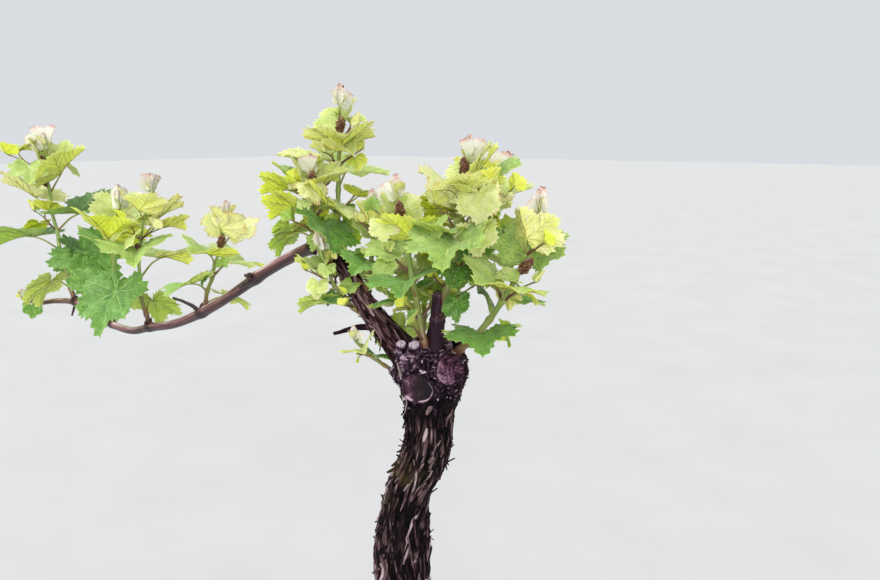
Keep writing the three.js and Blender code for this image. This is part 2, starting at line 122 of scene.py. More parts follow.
# The green shoots, as in the part's source
Shoot = namedtuple("Shoot", "foot bow tip girth leaves side blade opening bare buds seed")
SHOOTS = {
    "shoot_cane_tip": ((-801, 0, 722), (0, -4, -3), (-804, -26, 735), 1.8, 3, -40, 24, -10, (), (), 170),
    "shoot_cane_4": ((-684, 0, 737), (-16, 0, 0), (-727, 0, 975), 3.6, 8, -160, 70, 10, (), (5,), 153),
    "shoot_cane_3": ((-583, 0, 719), (-5, 0, 0), (-530, 0, 897), 3.2, 6, 140, 66, 14, (), (4,), 197),
    "shoot_cane_2": ((-483, 0, 730), (-30, 0, -6), (-450, 0, 920), 3.2, 7, 120, 60, 0, (), (5,), 295),
    "shoot_cane_1": ((-361, 0, 769), (1, 0, 0), (-298, 0, 894), 2.9, 7, 100, 46, 16, (), (), 260),
    "shoot_bend_1": ((-144, -1, 874), (4, -6, 0), (-142, -10, 950), 3, 8, -180, 42, 0, (), (), 27),
    "shoot_bend_2": ((-118, 0, 864), (-14, 14, 0), (-119, 12, 1020), 3.2, 6, 140, 50, 6, (1,), (5,), 202),
    "shoot_arm_1": ((-80, 0, 824), (4, 0, 0), (-66, 0, 920), 3.2, 5, 120, 34, 20, (), (), 197),
    "shoot_arm_2": ((-60, -4, 804), (-10, -2, -10), (-122, -20, 878), 2.8, 6, 20, 37, 10, (0, 2), (), 40),
    "shoot_head_1": ((10, -14, 782), (2, 0, 0), (-20, -20, 933), 3.6, 7, -40, 45, 8, (0,), (), 287),
    "shoot_head_2": ((20, -8, 820), (3, 0, -4), (56, -10, 968), 3.4, 8, 100, 52, -4, (0, 1), (6,), 251),
    "shoot_head_3": ((26, 2, 782), (9, 0, -12), (120, 0, 925), 3.6, 7, 100, 46, 20, (), (5,), 139),
    "shoot_head_4": ((-14, -14, 760), (0, 0, -6), (-74, -24, 788), 2.2, 4, -60, 27, -10, (0,), (), 160),
    "shoot_back_1": ((-5, 28, 826), (6, 8, 0), (14, 92, 952), 3.2, 7, 40, 50, 10, (), (4,), 264),
    "shoot_back_2": ((-18, 16, 774), (-8, 10, 0), (-70, 96, 900), 3, 7, -180, 50, 10, (1,), (), 39),
}
GROUPS = {
    "cane": ["shoot_cane_tip", "shoot_cane_4", "shoot_cane_3", "shoot_cane_2", "shoot_cane_1"],
    "arm": ["shoot_bend_1", "shoot_bend_2", "shoot_arm_1", "shoot_arm_2"],
    "head": ["shoot_head_1", "shoot_head_2", "shoot_head_3", "shoot_head_4"],
    "back": ["shoot_back_1", "shoot_back_2"],
}
# How a shoot changes from its newest leaf, at the tip, to its oldest, and how far its draws spread, as in the
# part's source
NEWEST = {"reach": 62, "lift": 64, "petiole": 0.5, "fold": 0.75, "curl": 0.12, "drop": 0.05}
OLDEST = {"reach": 28, "lift": -44, "petiole": 0.85, "fold": 0.13, "curl": 0.34, "drop": 0.15}
SPREAD = {"heading": 24, "reach": 8, "lift": 14, "size": 0.08, "roll": 28}
NODE_STANDS_OUT = 1.2
FIRST_NODE, LAST_NODE = 0.75, 0.15  # up the stem and below the tip, counted in leaves
KNEE = 0.6  # where a petiole bends, over its length
STALK_LEAST, STALK_SHARE = 0.8, 1 / 120  # half of a petiole's width, and its gain with the blade
BLADE_WAVE, FULL_TURN = 0.07, 6.28
BUNCH_LENGTH, BUNCH_SPREAD, BUNCH_LEAN = 28, 8, 0.35
STEM_TAPER = 0.42  # how thick a stem is at its tip, over its foot

# Half of a blade's outline from its tip to the petiole: angle from the midrib, reach over the midrib's
# length, and how many teeth follow before the next corner. Lobes and notches take turns, a lobe comes first.
FIVE_LOBES = [
    (0, 1, 3), (23, 0.75, 3), (46, 0.95, 3), (71, 0.69, 3), (98, 0.86, 2), (119, 0.64, 2), (142, 0.68, 4),
]
THREE_LOBES = [(0, 1, 3), (26, 0.77, 3), (50, 0.92, 3), (84, 0.7, 3), (115, 0.75, 4)]
TWIG_LOBES = [(0, 1, 3), (30, 0.76, 2), (56, 0.86, 3), (88, 0.68, 2), (118, 0.72, 3)]
LEAF_BASE = (173, 0.14)
SMALL_BLADE, TWIG_BLADE = 30, 17  # shorter blades have three lobes, and the shortest have fewer veins too


# Repeatable numbers and curves


def numbers_from(seed):
    """A repeatable stream of numbers from 0 to 1, the same as in the part's source"""
    state = seed * 2654435761 % 2**32

    def following():
        nonlocal state
        state = (state + 0x6D2B79F5) % 2**32
        t = (state ^ state >> 15) * (state | 1) % 2**32
        t = (t + (t ^ t >> 7) * (t | 61)) % 2**32 ^ t
        return (t ^ t >> 14) / 2**32

    return following


def unit(v):
    v = np.asarray(v, float)
    return v / np.linalg.norm(v, axis=-1, keepdims=True)


def hump(x, width):
    """A smooth hump that is 1 at 0 and nearly 0 past twice its width"""
    return np.exp(-((x / width) ** 2))


def risen(x, start, width):
    """From 0 up to start to 1 from a width further on"""
    return np.clip((x - start) / width, 0, 1)


def noise_at(places, seed=0):
    shift = Vector((seed * 7.3, seed * 3.1, seed * 5.7))
    return np.array([noise.noise(Vector(p) + shift) for p in places])


def cells_at(places):
    """How deep inside its cell each place lies, from 0 on a crack, and a number from -1 to 1 for its cell"""
    depth, value = [], []
    for p in places:
        distances, centres = noise.voronoi(Vector(p))
        depth.append(distances[1] - distances[0])
        value.append(noise.noise(centres[0] * 7.7))
    return np.array(depth), np.array(value)


class Line:
    """A smooth line through rows of x, y, z and radius, with the same form as the part's limbs"""

    def __init__(self, rows):
        self.rows = np.array(rows, float)
        self.spans = len(self.rows) - 1
        p = self.rows[:, :3]
        self.points = np.vstack([2 * p[0] - p[1], p, 2 * p[-1] - p[-2]])
        chord = p[-1] - p[0]
        steep = abs(chord[1]) >= 0.8 * np.linalg.norm(chord)
        self.reference = np.array((1.0, 0, 0) if steep else (0, 1.0, 0))

    def at(self, t):
        u = np.clip(np.atleast_1d(t), 0, 1) * self.spans
        i = np.minimum(u.astype(int), self.spans - 1)
        w = (u - i)[:, None]
        a, b, c, d = (self.points[i + k] for k in range(4))
        leave, arrive = (c - a) / 2, (d - b) / 2
        square, cube = 3 * (c - b) - 2 * leave - arrive, 2 * (b - c) + leave + arrive
        return b + leave * w + square * w**2 + cube * w**3

    def tangent(self, t):
        t = np.atleast_1d(t)
        step = 1e-4
        return unit(self.at(t + step) - self.at(t - step))

    def radius(self, t):
        return np.interp(np.atleast_1d(t) * self.spans, range(self.spans + 1), self.rows[:, 3])

    def across(self, t):
        """Two directions across the line, and its own direction"""
        tangent = self.tangent(t)
        across = unit(self.reference - tangent * (tangent @ self.reference)[:, None])
        return across, np.cross(across, tangent), tangent

    def stations(self, start, end, step):
        """Places on the line from start to end, about step apart, and the length up to each"""
        fine = np.linspace(start, end, 400)
        gaps = np.linalg.norm(np.diff(self.at(fine), axis=0), axis=1)
        length = np.concatenate([[0], np.cumsum(gaps)])
        wanted = np.linspace(0, length[-1], max(2, round(length[-1] / step) + 1))
        return np.interp(wanted, length, fine), wanted


# Meshes

GRAIN_STRETCH = 0.12  # how much closer the grain's places lie along a limb than across it


class Shape:
    """The triangles of one piece, gathered from its parts, with a material slot for each face, and a tint and
    a place in the grain for each vertex"""

    def __init__(self):
        self.points, self.faces, self.slots = [], [], []
        self.tints, self.grains = [], []
        self.count = 0

    def add(self, points, faces, slot=0, tint=0.0, grain=None):
        self.points.append(points)
        self.faces.append(faces + self.count)
        self.slots.append(np.broadcast_to(slot, len(faces)))
        self.tints.append(np.broadcast_to(tint, len(points)))
        self.grains.append(points if grain is None else grain)
        self.count += len(points)

    def add_tube(self, rows, step, sides, form=None, slot=0, tint=0.0, flat=1):
        """A tube through rows of x, y, z and radius. tint is a number, or a function of the length."""
        points, faces, grain, length = tube(Line(rows), step, sides, form, flat)
        if callable(tint):
            tint = np.concatenate([np.repeat(tint(length), sides), [0, 1]])
        self.add(points, faces, slot, tint, grain)

    def piece(self, name, materials, slot_name, nodes=(), sharp=50):
        points = np.concatenate(self.points) * MM
        faces = np.concatenate(self.faces)
        mesh = bpy.data.meshes.new(name)
        mesh.vertices.add(len(points))
        mesh.vertices.foreach_set("co", points.ravel())
        mesh.loops.add(faces.size)
        mesh.loops.foreach_set("vertex_index", faces.ravel().astype(np.int32))
        mesh.polygons.add(len(faces))
        mesh.polygons.foreach_set("loop_start", np.arange(0, faces.size, 3, dtype=np.int32))
        mesh.polygons.foreach_set("material_index", np.concatenate(self.slots).astype(np.int32))
        mesh.update(calc_edges=True)
        mesh.validate()
        tint, grain = np.concatenate(self.tints), np.concatenate(self.grains)
        finish_piece(name, mesh, materials, nodes, sharp, tint, grain)


def finish_piece(name, mesh, materials, nodes, sharp, tint, grain):
    mesh.attributes.new("tint", "FLOAT", "POINT").data.foreach_set("value", tint.astype(np.float32))
    places = (grain * MM).ravel().astype(np.float32)
    mesh.attributes.new("grain", "FLOAT_VECTOR", "POINT").data.foreach_set("vector", places)
    mesh.shade_smooth()
    if sharp:
        mesh.set_sharp_from_angle(angle=math.radians(sharp))
    for material in materials:
        mesh.materials.append(material)
    piece = new_object(name, mesh)
    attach(piece, "root")
    if nodes:
        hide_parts(*nodes)
    return piece


def outward(points, faces):
    """The triangles of a closed part, turned to look outwards"""
    a, b, c = (points[faces[:, k]] for k in range(3))
    centre = points.mean(0)
    volume = ((a - centre) * np.cross(b - centre, c - centre)).sum()
    return faces[:, ::-1] if volume < 0 else faces


def grid_faces(rows, columns, closed=True):
    """Triangles between rows of vertices, each row a ring if closed"""
    i, j = np.meshgrid(range(rows - 1), range(columns if closed else columns - 1), indexing="ij")
    i, j = i.ravel(), j.ravel()
    k = (j + 1) % columns
    a, b, c, d = i * columns + j, i * columns + k, (i + 1) * columns + k, (i + 1) * columns + j
    return np.concatenate([np.stack([a, b, c], 1), np.stack([a, c, d], 1)])


def ring_tube(rings):
    """A closed tube over an array of rings, with a middle vertex in each end: its points and triangles"""
    count, sides = rings.shape[:2]
    ends = np.stack([rings[0].mean(0), rings[-1].mean(0)])
    points = np.concatenate([rings.reshape(-1, 3), ends])
    j = np.arange(sides)
    k = (j + 1) % sides
    low = np.stack([np.full(sides, count * sides), k, j], 1)
    last = (count - 1) * sides
    high = np.stack([np.full(sides, count * sides + 1), last + j, last + k], 1)
    return points, outward(points, np.concatenate([grid_faces(count, sides), low, high]))


def tube(line, step, sides, form=None, flat=1, start=0, end=1):
    """A tube along part of a line: its points, triangles and grain, and the length up to each of its rings.
    form(angle, centre, length, radius) gives its radius, and flat is how far it is flattened."""
    t, length = line.stations(start, end, step)
    across, other, _ = line.across(t)
    centre = line.at(t)
    angle = np.arange(sides) * 2 * np.pi / sides
    girth = np.broadcast_to(line.radius(t)[:, None], (len(t), sides))
    radius = girth
    if form is not None:
        radius = form(angle[None, :], centre[:, None, :], length[:, None], girth)
    way = np.cos(angle)[None, :, None] * across[:, None, :]
    way = way + np.sin(angle)[None, :, None] * other[:, None, :] * flat
    points, faces = ring_tube(centre[:, None, :] + way * radius[:, :, None])
    grain = [girth * np.cos(angle), girth * np.sin(angle), length[:, None] * GRAIN_STRETCH + 0 * girth]
    grain = np.stack(grain, 2).reshape(-1, 3)
    return points, faces, np.concatenate([grain, grain[:1], grain[-1:]]), length


# Materials


def colour(tone):
    """A colour as seen on a screen, 0 to 255, for a shader"""
    seen = np.array(tone) / 255
    linear = np.where(seen <= 0.04045, seen / 12.92, ((seen + 0.055) / 1.055) ** 2.4)
    return (*linear, 1)


def coloured(stops):
    return [(place, colour(tone)) for place, tone in stops]


class Skin:
    """A new material, and the nodes that give it its colour, roughness and fine relief"""

    def __init__(self, name):
        self.material = bpy.data.materials.new(name)
        self.material.use_nodes = True
        self.tree = self.material.node_tree

    def node(self, kind, inputs):
        """A new node. An input is a constant, or what another node puts out."""
        return self.feed(self.tree.nodes.new(kind), inputs)

    def feed(self, node, inputs):
        for place, value in inputs.items():
            if isinstance(value, bpy.types.NodeSocket):
                self.tree.links.new(value, node.inputs[place])
            else:
                node.inputs[place].default_value = value
        return node

    def place(self):
        return self.tree.nodes.new("ShaderNodeTexCoord").outputs["Object"]

    def attribute(self, name):
        node = self.tree.nodes.new("ShaderNodeAttribute")
        node.attribute_name = name
        return node.outputs

    def tint(self):
        return self.attribute("tint")["Fac"]

    def grain(self):
        return self.attribute("grain")["Vector"]

    def noise(self, vector, scale, detail=5, roughness=0.55):
        inputs = {"Vector": vector, "Scale": scale, "Detail": detail, "Roughness": roughness}
        return self.node("ShaderNodeTexNoise", inputs).outputs["Fac"]

    def cells(self, vector, scale):
        """How far inside its cell each place lies"""
        node = self.node("ShaderNodeTexVoronoi", {"Vector": vector, "Scale": scale})
        node.feature = "DISTANCE_TO_EDGE"
        return node.outputs["Distance"]

    def ramp(self, source, stops):
        node = self.node("ShaderNodeValToRGB", {"Fac": source})
        elements = node.color_ramp.elements
        while len(elements) < len(stops):
            elements.new(0.5)
        for element, (place, value) in zip(elements, stops):
            element.position = place
            element.color = value
        return node.outputs["Color"]

    def blend(self, factor, first, second):
        node = self.tree.nodes.new("ShaderNodeMix")
        node.data_type = "RGBA"
        return self.feed(node, {0: factor, 6: first, 7: second}).outputs[2]

    def reckon(self, operation, first, second):
        node = self.node("ShaderNodeMath", {0: first, 1: second})
        node.operation = operation
        return node.outputs[0]

    def swing(self, source, reach):
        """A noise from 0 to 1, laid round 0 with a height of reach"""
        return self.reckon("MULTIPLY", self.reckon("SUBTRACT", source, 0.5), reach)

    def finish(self, base, rough, relief, depth, **looks):
        """rough is the roughness where the relief is low and where it is high, and depth is in millimetres"""
        low, high = rough
        dealt = self.node("ShaderNodeMapRange", {"To Min": low, "To Max": high, "Value": relief})
        bump = self.node("ShaderNodeBump", {"Strength": 1, "Distance": depth * MM, "Height": relief})
        inputs = {"Base Color": base, "Roughness": dealt.outputs["Result"], "Normal": bump.outputs["Normal"]}
        inputs.update({key.replace("_", " "): value for key, value in looks.items()})
        self.feed(self.tree.nodes["Principled BSDF"], inputs)
        return self.material


TONE_PLACES = (0.33, 0.46, 0.58, 0.72)
MOSS_SCALE, MOSS_PATCHES = 24, [(0.6, (0, 0, 0, 1)), (0.72, (0.5, 0.5, 0.5, 1))]


def wood(name, *tones, moss=None, rough=(0.95, 0.75), scale=420, depth=1.2, share=0.55, shine=0.12):
    """Bark or cut wood in four tones, from its dark hollows to its pale ridges, frayed along the grain. The
    dark of the hollows is partly the wood's own colour and partly painted shade. share is how much of its
    colour the fibres give, and moss the colour of its patches."""
    skin = Skin(name)
    fibre = skin.noise(skin.grain(), scale, 7, 0.62)
    fibres, ridges = skin.reckon("MULTIPLY", fibre, share), skin.reckon("MULTIPLY", skin.tint(), 0.5)
    height = skin.reckon("ADD", skin.reckon("ADD", fibres, ridges), (0.55 - share) / 2)
    base = skin.ramp(height, coloured(zip(TONE_PLACES, tones)))
    if moss is not None:
        patches = skin.ramp(skin.noise(skin.place(), MOSS_SCALE, 3), MOSS_PATCHES)
        base = skin.blend(patches, base, colour(moss))
    return skin.finish(base, rough, fibre, depth, Specular_IOR_Level=shine)


def growth(name, stops, scale, rough, depth, sheen=0.0, coat=0.0, along=False):
    """Soft growth: a few close colours in patches, or laid along the tint from foot to tip"""
    skin = Skin(name)
    place = skin.place()
    patches = skin.noise(place, scale, 4)
    source = skin.reckon("ADD", skin.tint(), skin.swing(patches, 0.3)) if along else patches
    return skin.finish(
        skin.ramp(source, coloured(stops)), rough, skin.noise(place, scale * 8, 3), depth,
        Sheen_Weight=sheen, Sheen_Roughness=0.4, Coat_Weight=coat, Coat_Roughness=0.35,
    )


RUST, BROWN = (176, 126, 60), (122, 66, 40)
GREEN_PLACES = (0.02, 0.22, 0.46, 0.76, 0.98)
PATCH_SCALE, CELL_SCALE, CRINKLE_SCALE = 110, 330, 360


def leaf_green(name, depth, sheen, deep, middle, light):
    """A leaf's skin. The tint deals out its green from deep to light, and past one half it goes over to rust.
    Fine cells bulge between the smallest veins, and the skin is crinkled."""
    skin = Skin(name)
    place = skin.grain()
    patches = skin.swing(skin.noise(place, PATCH_SCALE, 4), 0.7)
    stops = coloured(zip(GREEN_PLACES, (deep, middle, light, RUST, BROWN)))
    base = skin.ramp(skin.reckon("ADD", skin.tint(), patches), stops)
    bulge = skin.reckon("MINIMUM", skin.reckon("MULTIPLY", skin.cells(place, CELL_SCALE), 3.5), 1)
    net = skin.reckon("MULTIPLY", skin.reckon("SUBTRACT", 1, bulge), 0.28)
    crinkle = skin.reckon("MULTIPLY", skin.noise(place, CRINKLE_SCALE, 4), 0.9)
    relief = skin.reckon("MULTIPLY", skin.reckon("ADD", crinkle, bulge), 0.55)
    return skin.finish(
        skin.blend(net, base, colour(light)), (0.54, 0.36), relief, depth,
        Sheen_Weight=sheen, Sheen_Roughness=0.35, Subsurface_Weight=0.55, Subsurface_Radius=(0.8, 1, 0.3),
        Subsurface_Scale=1.2 * MM,
    )


OLD_BARK = wood(
    "bark_old", (3, 1, 2), (34, 20, 23), (96, 74, 76), (166, 144, 147),
    moss=(66, 54, 16), scale=480, depth=1.8, share=0.85,
)
HEAD_BARK = wood(
    "bark_head", (5, 1, 5), (33, 18, 29), (76, 53, 69), (168, 143, 160), scale=560, depth=1.8, share=0.85,
)
STRIP_BARK = wood(
    "bark_strips", (9, 4, 6), (50, 33, 36), (112, 90, 91), (180, 159, 161),
    moss=(72, 60, 22), scale=480, share=0.75,
)
CHIP_BARK = wood("bark_chips", (16, 5, 14), (62, 40, 54), (116, 90, 104), (206, 184, 198), scale=520)
ARM_BARK = wood("bark_arm", (25, 9, 15), (74, 48, 54), (114, 86, 90), (164, 138, 140))
CANE_BARK = wood(
    "bark_cane", (34, 14, 18), (84, 46, 46), (136, 96, 94), (216, 196, 194),
    rough=(0.44, 0.32), scale=300, depth=0.1, share=0.38, shine=0.5,
)
SPUR_BARK = wood(
    "bark_spur", (16, 4, 11), (40, 18, 31), (60, 34, 50), (104, 76, 94),
    rough=(0.66, 0.5), depth=0.3, share=0.4, shine=0.2,
)
CUT_FACES = [
    wood("wood_cut", (22, 7, 18), (66, 36, 53), (98, 66, 86), (140, 110, 128),
         scale=380, depth=0.5, share=0.4),
    wood("wood_dark", (6, 1, 8), (36, 14, 26), (84, 50, 68), (176, 150, 166),
         scale=300, depth=0.5, share=0.2, shine=0.4),
    wood("wood_pale", (112, 90, 104), (168, 148, 164), (194, 175, 190), (214, 198, 210),
         scale=500, depth=0.4),
]
# The upper and under faces of a blade in its three tones: the depth of the relief and the sheen, then the
# deep, middle and light green, and the two colours of the veins
GREENS = {
    "upper_green": (0.9, 0.12, (50, 92, 26), (82, 130, 44), (130, 172, 82),
                    (146, 184, 98), (170, 200, 122)),
    "upper_light": (0.9, 0.15, (108, 144, 52), (150, 182, 78), (196, 210, 136),
                    (204, 214, 124), (220, 224, 146)),
    "upper_young": (0.7, 0.15, (152, 172, 70), (182, 197, 100), (208, 212, 150),
                    (214, 214, 130), (228, 226, 160)),
    # The under faces are partly the leaf's own paler underside and partly painted light shining through the
    # blade: the light and young ones are painted brighter and yellower, with darker veins against them
    "under_green": (0.4, 0.15, (126, 160, 44), (166, 192, 66), (196, 212, 106),
                    (132, 150, 58), (156, 170, 78)),
    "under_light": (0.4, 0.15, (196, 214, 40), (222, 235, 72), (238, 243, 116),
                    (140, 142, 30), (164, 160, 48)),
    "under_young": (0.4, 0.15, (210, 219, 92), (229, 234, 122), (241, 241, 168),
                    (158, 150, 56), (180, 170, 76)),
}
LEAVES = [leaf_green("leaf_" + name, *row[:5]) for name, row in GREENS.items()]
VEINS = [
    growth("vein_" + name, zip((0.36, 0.64), row[5:]), 55, (0.45, 0.62), 0.1) for name, row in GREENS.items()
]
STEMS = [
    growth(
        "stem_green", ((0, (78, 48, 42)), (0.2, (118, 82, 56)), (0.38, (120, 122, 58)), (1, (138, 162, 80))),
        60, (0.3, 0.5), 0.2, coat=0.15, along=True,
    ),
    growth(
        "petiole_green", ((0, (132, 92, 62)), (0.35, (146, 142, 70)), (1, (172, 186, 96))),
        60, (0.35, 0.5), 0.15, along=True,
    ),
    growth("tendril", ((0.4, (176, 190, 96)), (0.62, (190, 140, 112))), 120, (0.42, 0.6), 0.12),
]
FELT = growth(
    "tip_felt",
    ((0.06, (176, 188, 122)), (0.3, (222, 225, 200)), (0.74, (236, 230, 218)), (0.91, (220, 180, 164)),
     (1, (138, 70, 60))),
    280, (0.8, 0.95), 0.5, sheen=0.6, along=True,
)
BUDS = growth(
    "flower_buds", ((0.36, (82, 46, 38)), (0.55, (130, 84, 64)), (0.66, (150, 136, 84))),
    260, (0.5, 0.7), 0.3,
)
SCALES = growth("bud_scales", ((0.38, (38, 22, 24)), (0.62, (92, 62, 56))), 300, (0.75, 0.95), 0.4)


# Old wood


def bark_relief(angle, height, radius, width, length, seed):
    """Relief from -1 to 1 on a limb: long strips of bark with cracks between them and fibres on them"""
    turned = angle + height * 0.004
    sway = 0.2 * np.sin(height / 37 + 3 * np.sin(angle) + seed)
    turned = turned + sway
    ring = np.stack([np.cos(turned), np.sin(turned)], 1)
    strips = np.column_stack([ring * (radius / width)[:, None], height / length + seed])
    depth, value = cells_at(strips)
    fibres = np.column_stack([ring * (radius / (0.3 * width))[:, None], height / (0.5 * length)])
    fine = noise_at(fibres, 1)
    return np.clip(1.3 * np.minimum(depth * 2.2, 0.75) - 0.75 + 0.75 * value + 0.45 * fine, -1, 1)


LIMB_SEED = 3


def limb_piece(name, line, span, material, grain, sides, step, swell, dark, top_light=0.0):
    """A limb which replaces its solid. grain gives the width, length and height of its relief, swell(centre)
    how many times as thick as the line it is, dark(centre) where its bark is darker, and top_light how much
    paler it is painted above than below, as a painted highlight on its top and painted shade underneath."""
    width, length, depth = grain
    shades = []

    def relief(angle, centre, along, radius):
        flat = [np.broadcast_to(v, radius.shape).ravel() for v in (angle, along, radius)]
        bump = bark_relief(*flat, width, length, LIMB_SEED).reshape(radius.shape)
        # The tint follows the relief, darker in the cracks: partly the bark's own colour and partly painted
        # shade
        shades.append(bump * min(0.5, 0.16 + depth / 4) + 0.5 - dark(centre))
        return radius * swell(centre) + depth * bump

    whole = Shape()
    points, faces, places, _ = tube(line, step, sides, relief, start=span[0], end=span[1])
    rings = points[:-2].reshape(-1, sides, 3)
    # Painted light: the tint is lighter on the limb's top and darker on its underside, a painted highlight
    # above and painted shade below
    shade = shades[0] + top_light * unit(rings - rings.mean(1, keepdims=True))[..., 2]
    whole.add(points, faces, tint=np.concatenate([shade.ravel(), shade[[0, -1]].mean(1)]), grain=places)
    for foot, tip, radii in DRY_TWIGS.get(name, ()):
        add_dry_twig(whole, foot, tip, radii)
    whole.piece(name + "_bark", [material], "cane_bark" if material is CANE_BARK else "old_bark", [name])


def add_dry_twig(whole, foot, tip, radii):
    foot, tip = np.array(foot, float), np.array(tip, float)
    sag = np.array((0, 0, 0.06 * np.linalg.norm(tip - foot)))
    rows = [(*foot, radii[0]), (*(0.55 * foot + 0.45 * tip + sag), radii[0] * 0.8), (*tip, radii[1])]

    def rough(angle, centre, along, radius):
        return radius * (1 + 0.14 * np.sin(3 * angle + along / 3) + 0.1 * np.sin(5 * angle - along / 2))

    whole.add_tube(rows, 1.6, 10, rough, tint=0.1)


def near_nodes(centre, reach):
    return np.max([hump(centre[..., 0] - x, reach) for x in CANE_NODES], axis=0)


def cane_swell(centre):
    return 1 + NODE_HEIGHT / CANE_RADIUS * near_nodes(centre, NODE_REACH)


def cane_dark(centre):
    """The bark is darker on the swollen nodes, and darkens towards the old wood"""
    return 0.06 + 0.5 * near_nodes(centre, 5.5) + 0.16 * risen(centre[..., 0], -190, 60)


# Knots along the arm: place, height over the radius, and reach. The largest one is darker too.
ARM_KNOTS = ((-46, 0.14, 9), (-70, 0.08, 6), (-91, 0.34, 6), (-118, 0.1, 7), (-143, 0.2, 7))
LARGEST_KNOT = -91


def arm_knots(centre):
    return 0.9 + sum(high * hump(centre[..., 0] - x, reach) for x, high, reach in ARM_KNOTS)


def arm_dark(centre):
    """The arm is darker near the head and on its largest knot"""
    x = centre[..., 0]
    return 0.24 * risen(x, -96, 30) + 0.12 * hump(x - LARGEST_KNOT, 7) - 0.06


SPUR_COLLAR, SPUR_RING, SPUR_PALE, SPUR_TIP = 786, 819, 822, 842


def spur_rings(centre):
    z = centre[..., 2]
    return 1 + 0.13 * hump(z - SPUR_RING, 2.4) + 0.18 * hump(z - SPUR_COLLAR, 9)


def spur_dark(centre):
    """A spur is dark, with a pale dry tip and a pale ring round its middle"""
    z = centre[..., 2]
    return 0.1 - 0.3 * hump(z - SPUR_PALE, 2) - 0.5 * risen(z, SPUR_TIP, 4)


def furrowed(angle, centre, along, radius):
    z = centre[..., 2]
    flare = FLARE * np.exp(-np.maximum(0, z) / FLARE_HEIGHT) * np.cos(FLARE_LOBES * angle + 1)
    return radius * (1 + FURROW_DEPTH * np.cos(FURROW_LOBES * angle + np.radians(FURROW_TWIST * z)) + flare)


def burr():
    mesh = bmesh.new()
    bmesh.ops.create_icosphere(mesh, subdivisions=5, radius=1)
    points = np.array([v.co for v in mesh.verts])
    faces = np.array([[v.index for v in f.verts] for f in mesh.faces])
    mesh.free()
    x, y, z = points.T
    bump = 1 + BURR_BUMPS * np.sin(4.1 * x + 1) * np.cos(3.7 * y) * np.cos(5.3 * z + 0.6)
    return points * bump[:, None] * BURR_SIZE + BURR_CENTRE, faces


def stub_rows(foot, tip, radii):
    return [(*foot, radii[0]), (*tip, radii[1])]


VOXEL = 1.27 * MM
SQUEEZE = 0.5  # voxels are longer up the trunk, like its relief


def trunk_blank():
    """The trunk, the burr and the stubs as one evenly meshed skin"""
    whole = Shape()
    whole.add_tube(TRUNK, 4, 96, furrowed)
    whole.add(*burr())
    for foot, tip, radii, flat in STUBS.values():
        whole.add_tube(stub_rows(foot, tip, radii), 2, 48, flat=flat)
    points = np.concatenate(whole.points) * MM * (1, 1, SQUEEZE)
    mesh = bpy.data.meshes.new("blank")
    mesh.from_pydata(points.tolist(), [], np.concatenate(whole.faces).tolist())
    blank = new_object("blank", mesh)
    skin = blank.modifiers.new("skin", "REMESH")
    skin.mode = "VOXEL"
    skin.voxel_size = VOXEL
    made = bpy.data.meshes.new_from_object(blank.evaluated_get(bpy.context.evaluated_depsgraph_get()))
    bpy.data.objects.remove(blank)
    for vertex in made.vertices:
        vertex.co.z /= SQUEEZE
    made.update()
    return made


def numbers_of(collection, field, kind=np.float32, width=1):
    """One field of a mesh's vertices, faces or corners, as rows of numbers if it is wider than 1"""
    values = np.zeros(len(collection) * width, kind)
    collection.foreach_get(field, values)
    return values.reshape(-1, width).astype(float) if width > 1 else values


# Where the trunk's relief begins to give way to the head's, over what height, and where its colour does
HEAD_FOOT, HEAD_BLEND, HEAD_COLOUR = 715, 30, 728
STRIP_WIDTH, STRIP_LENGTH = 5.4, 62
TRUNK_RELIEF, HEAD_RELIEF = 2.4, 0.3  # the height of the bark, and how much more the head's has
# The head is painted paler on its side that faces this way, as painted light, and darker away from it, as
# painted shade
HEAD_LIT_WAY = (-0.5, -0.3, 0.8)  # the way of the head's paler side


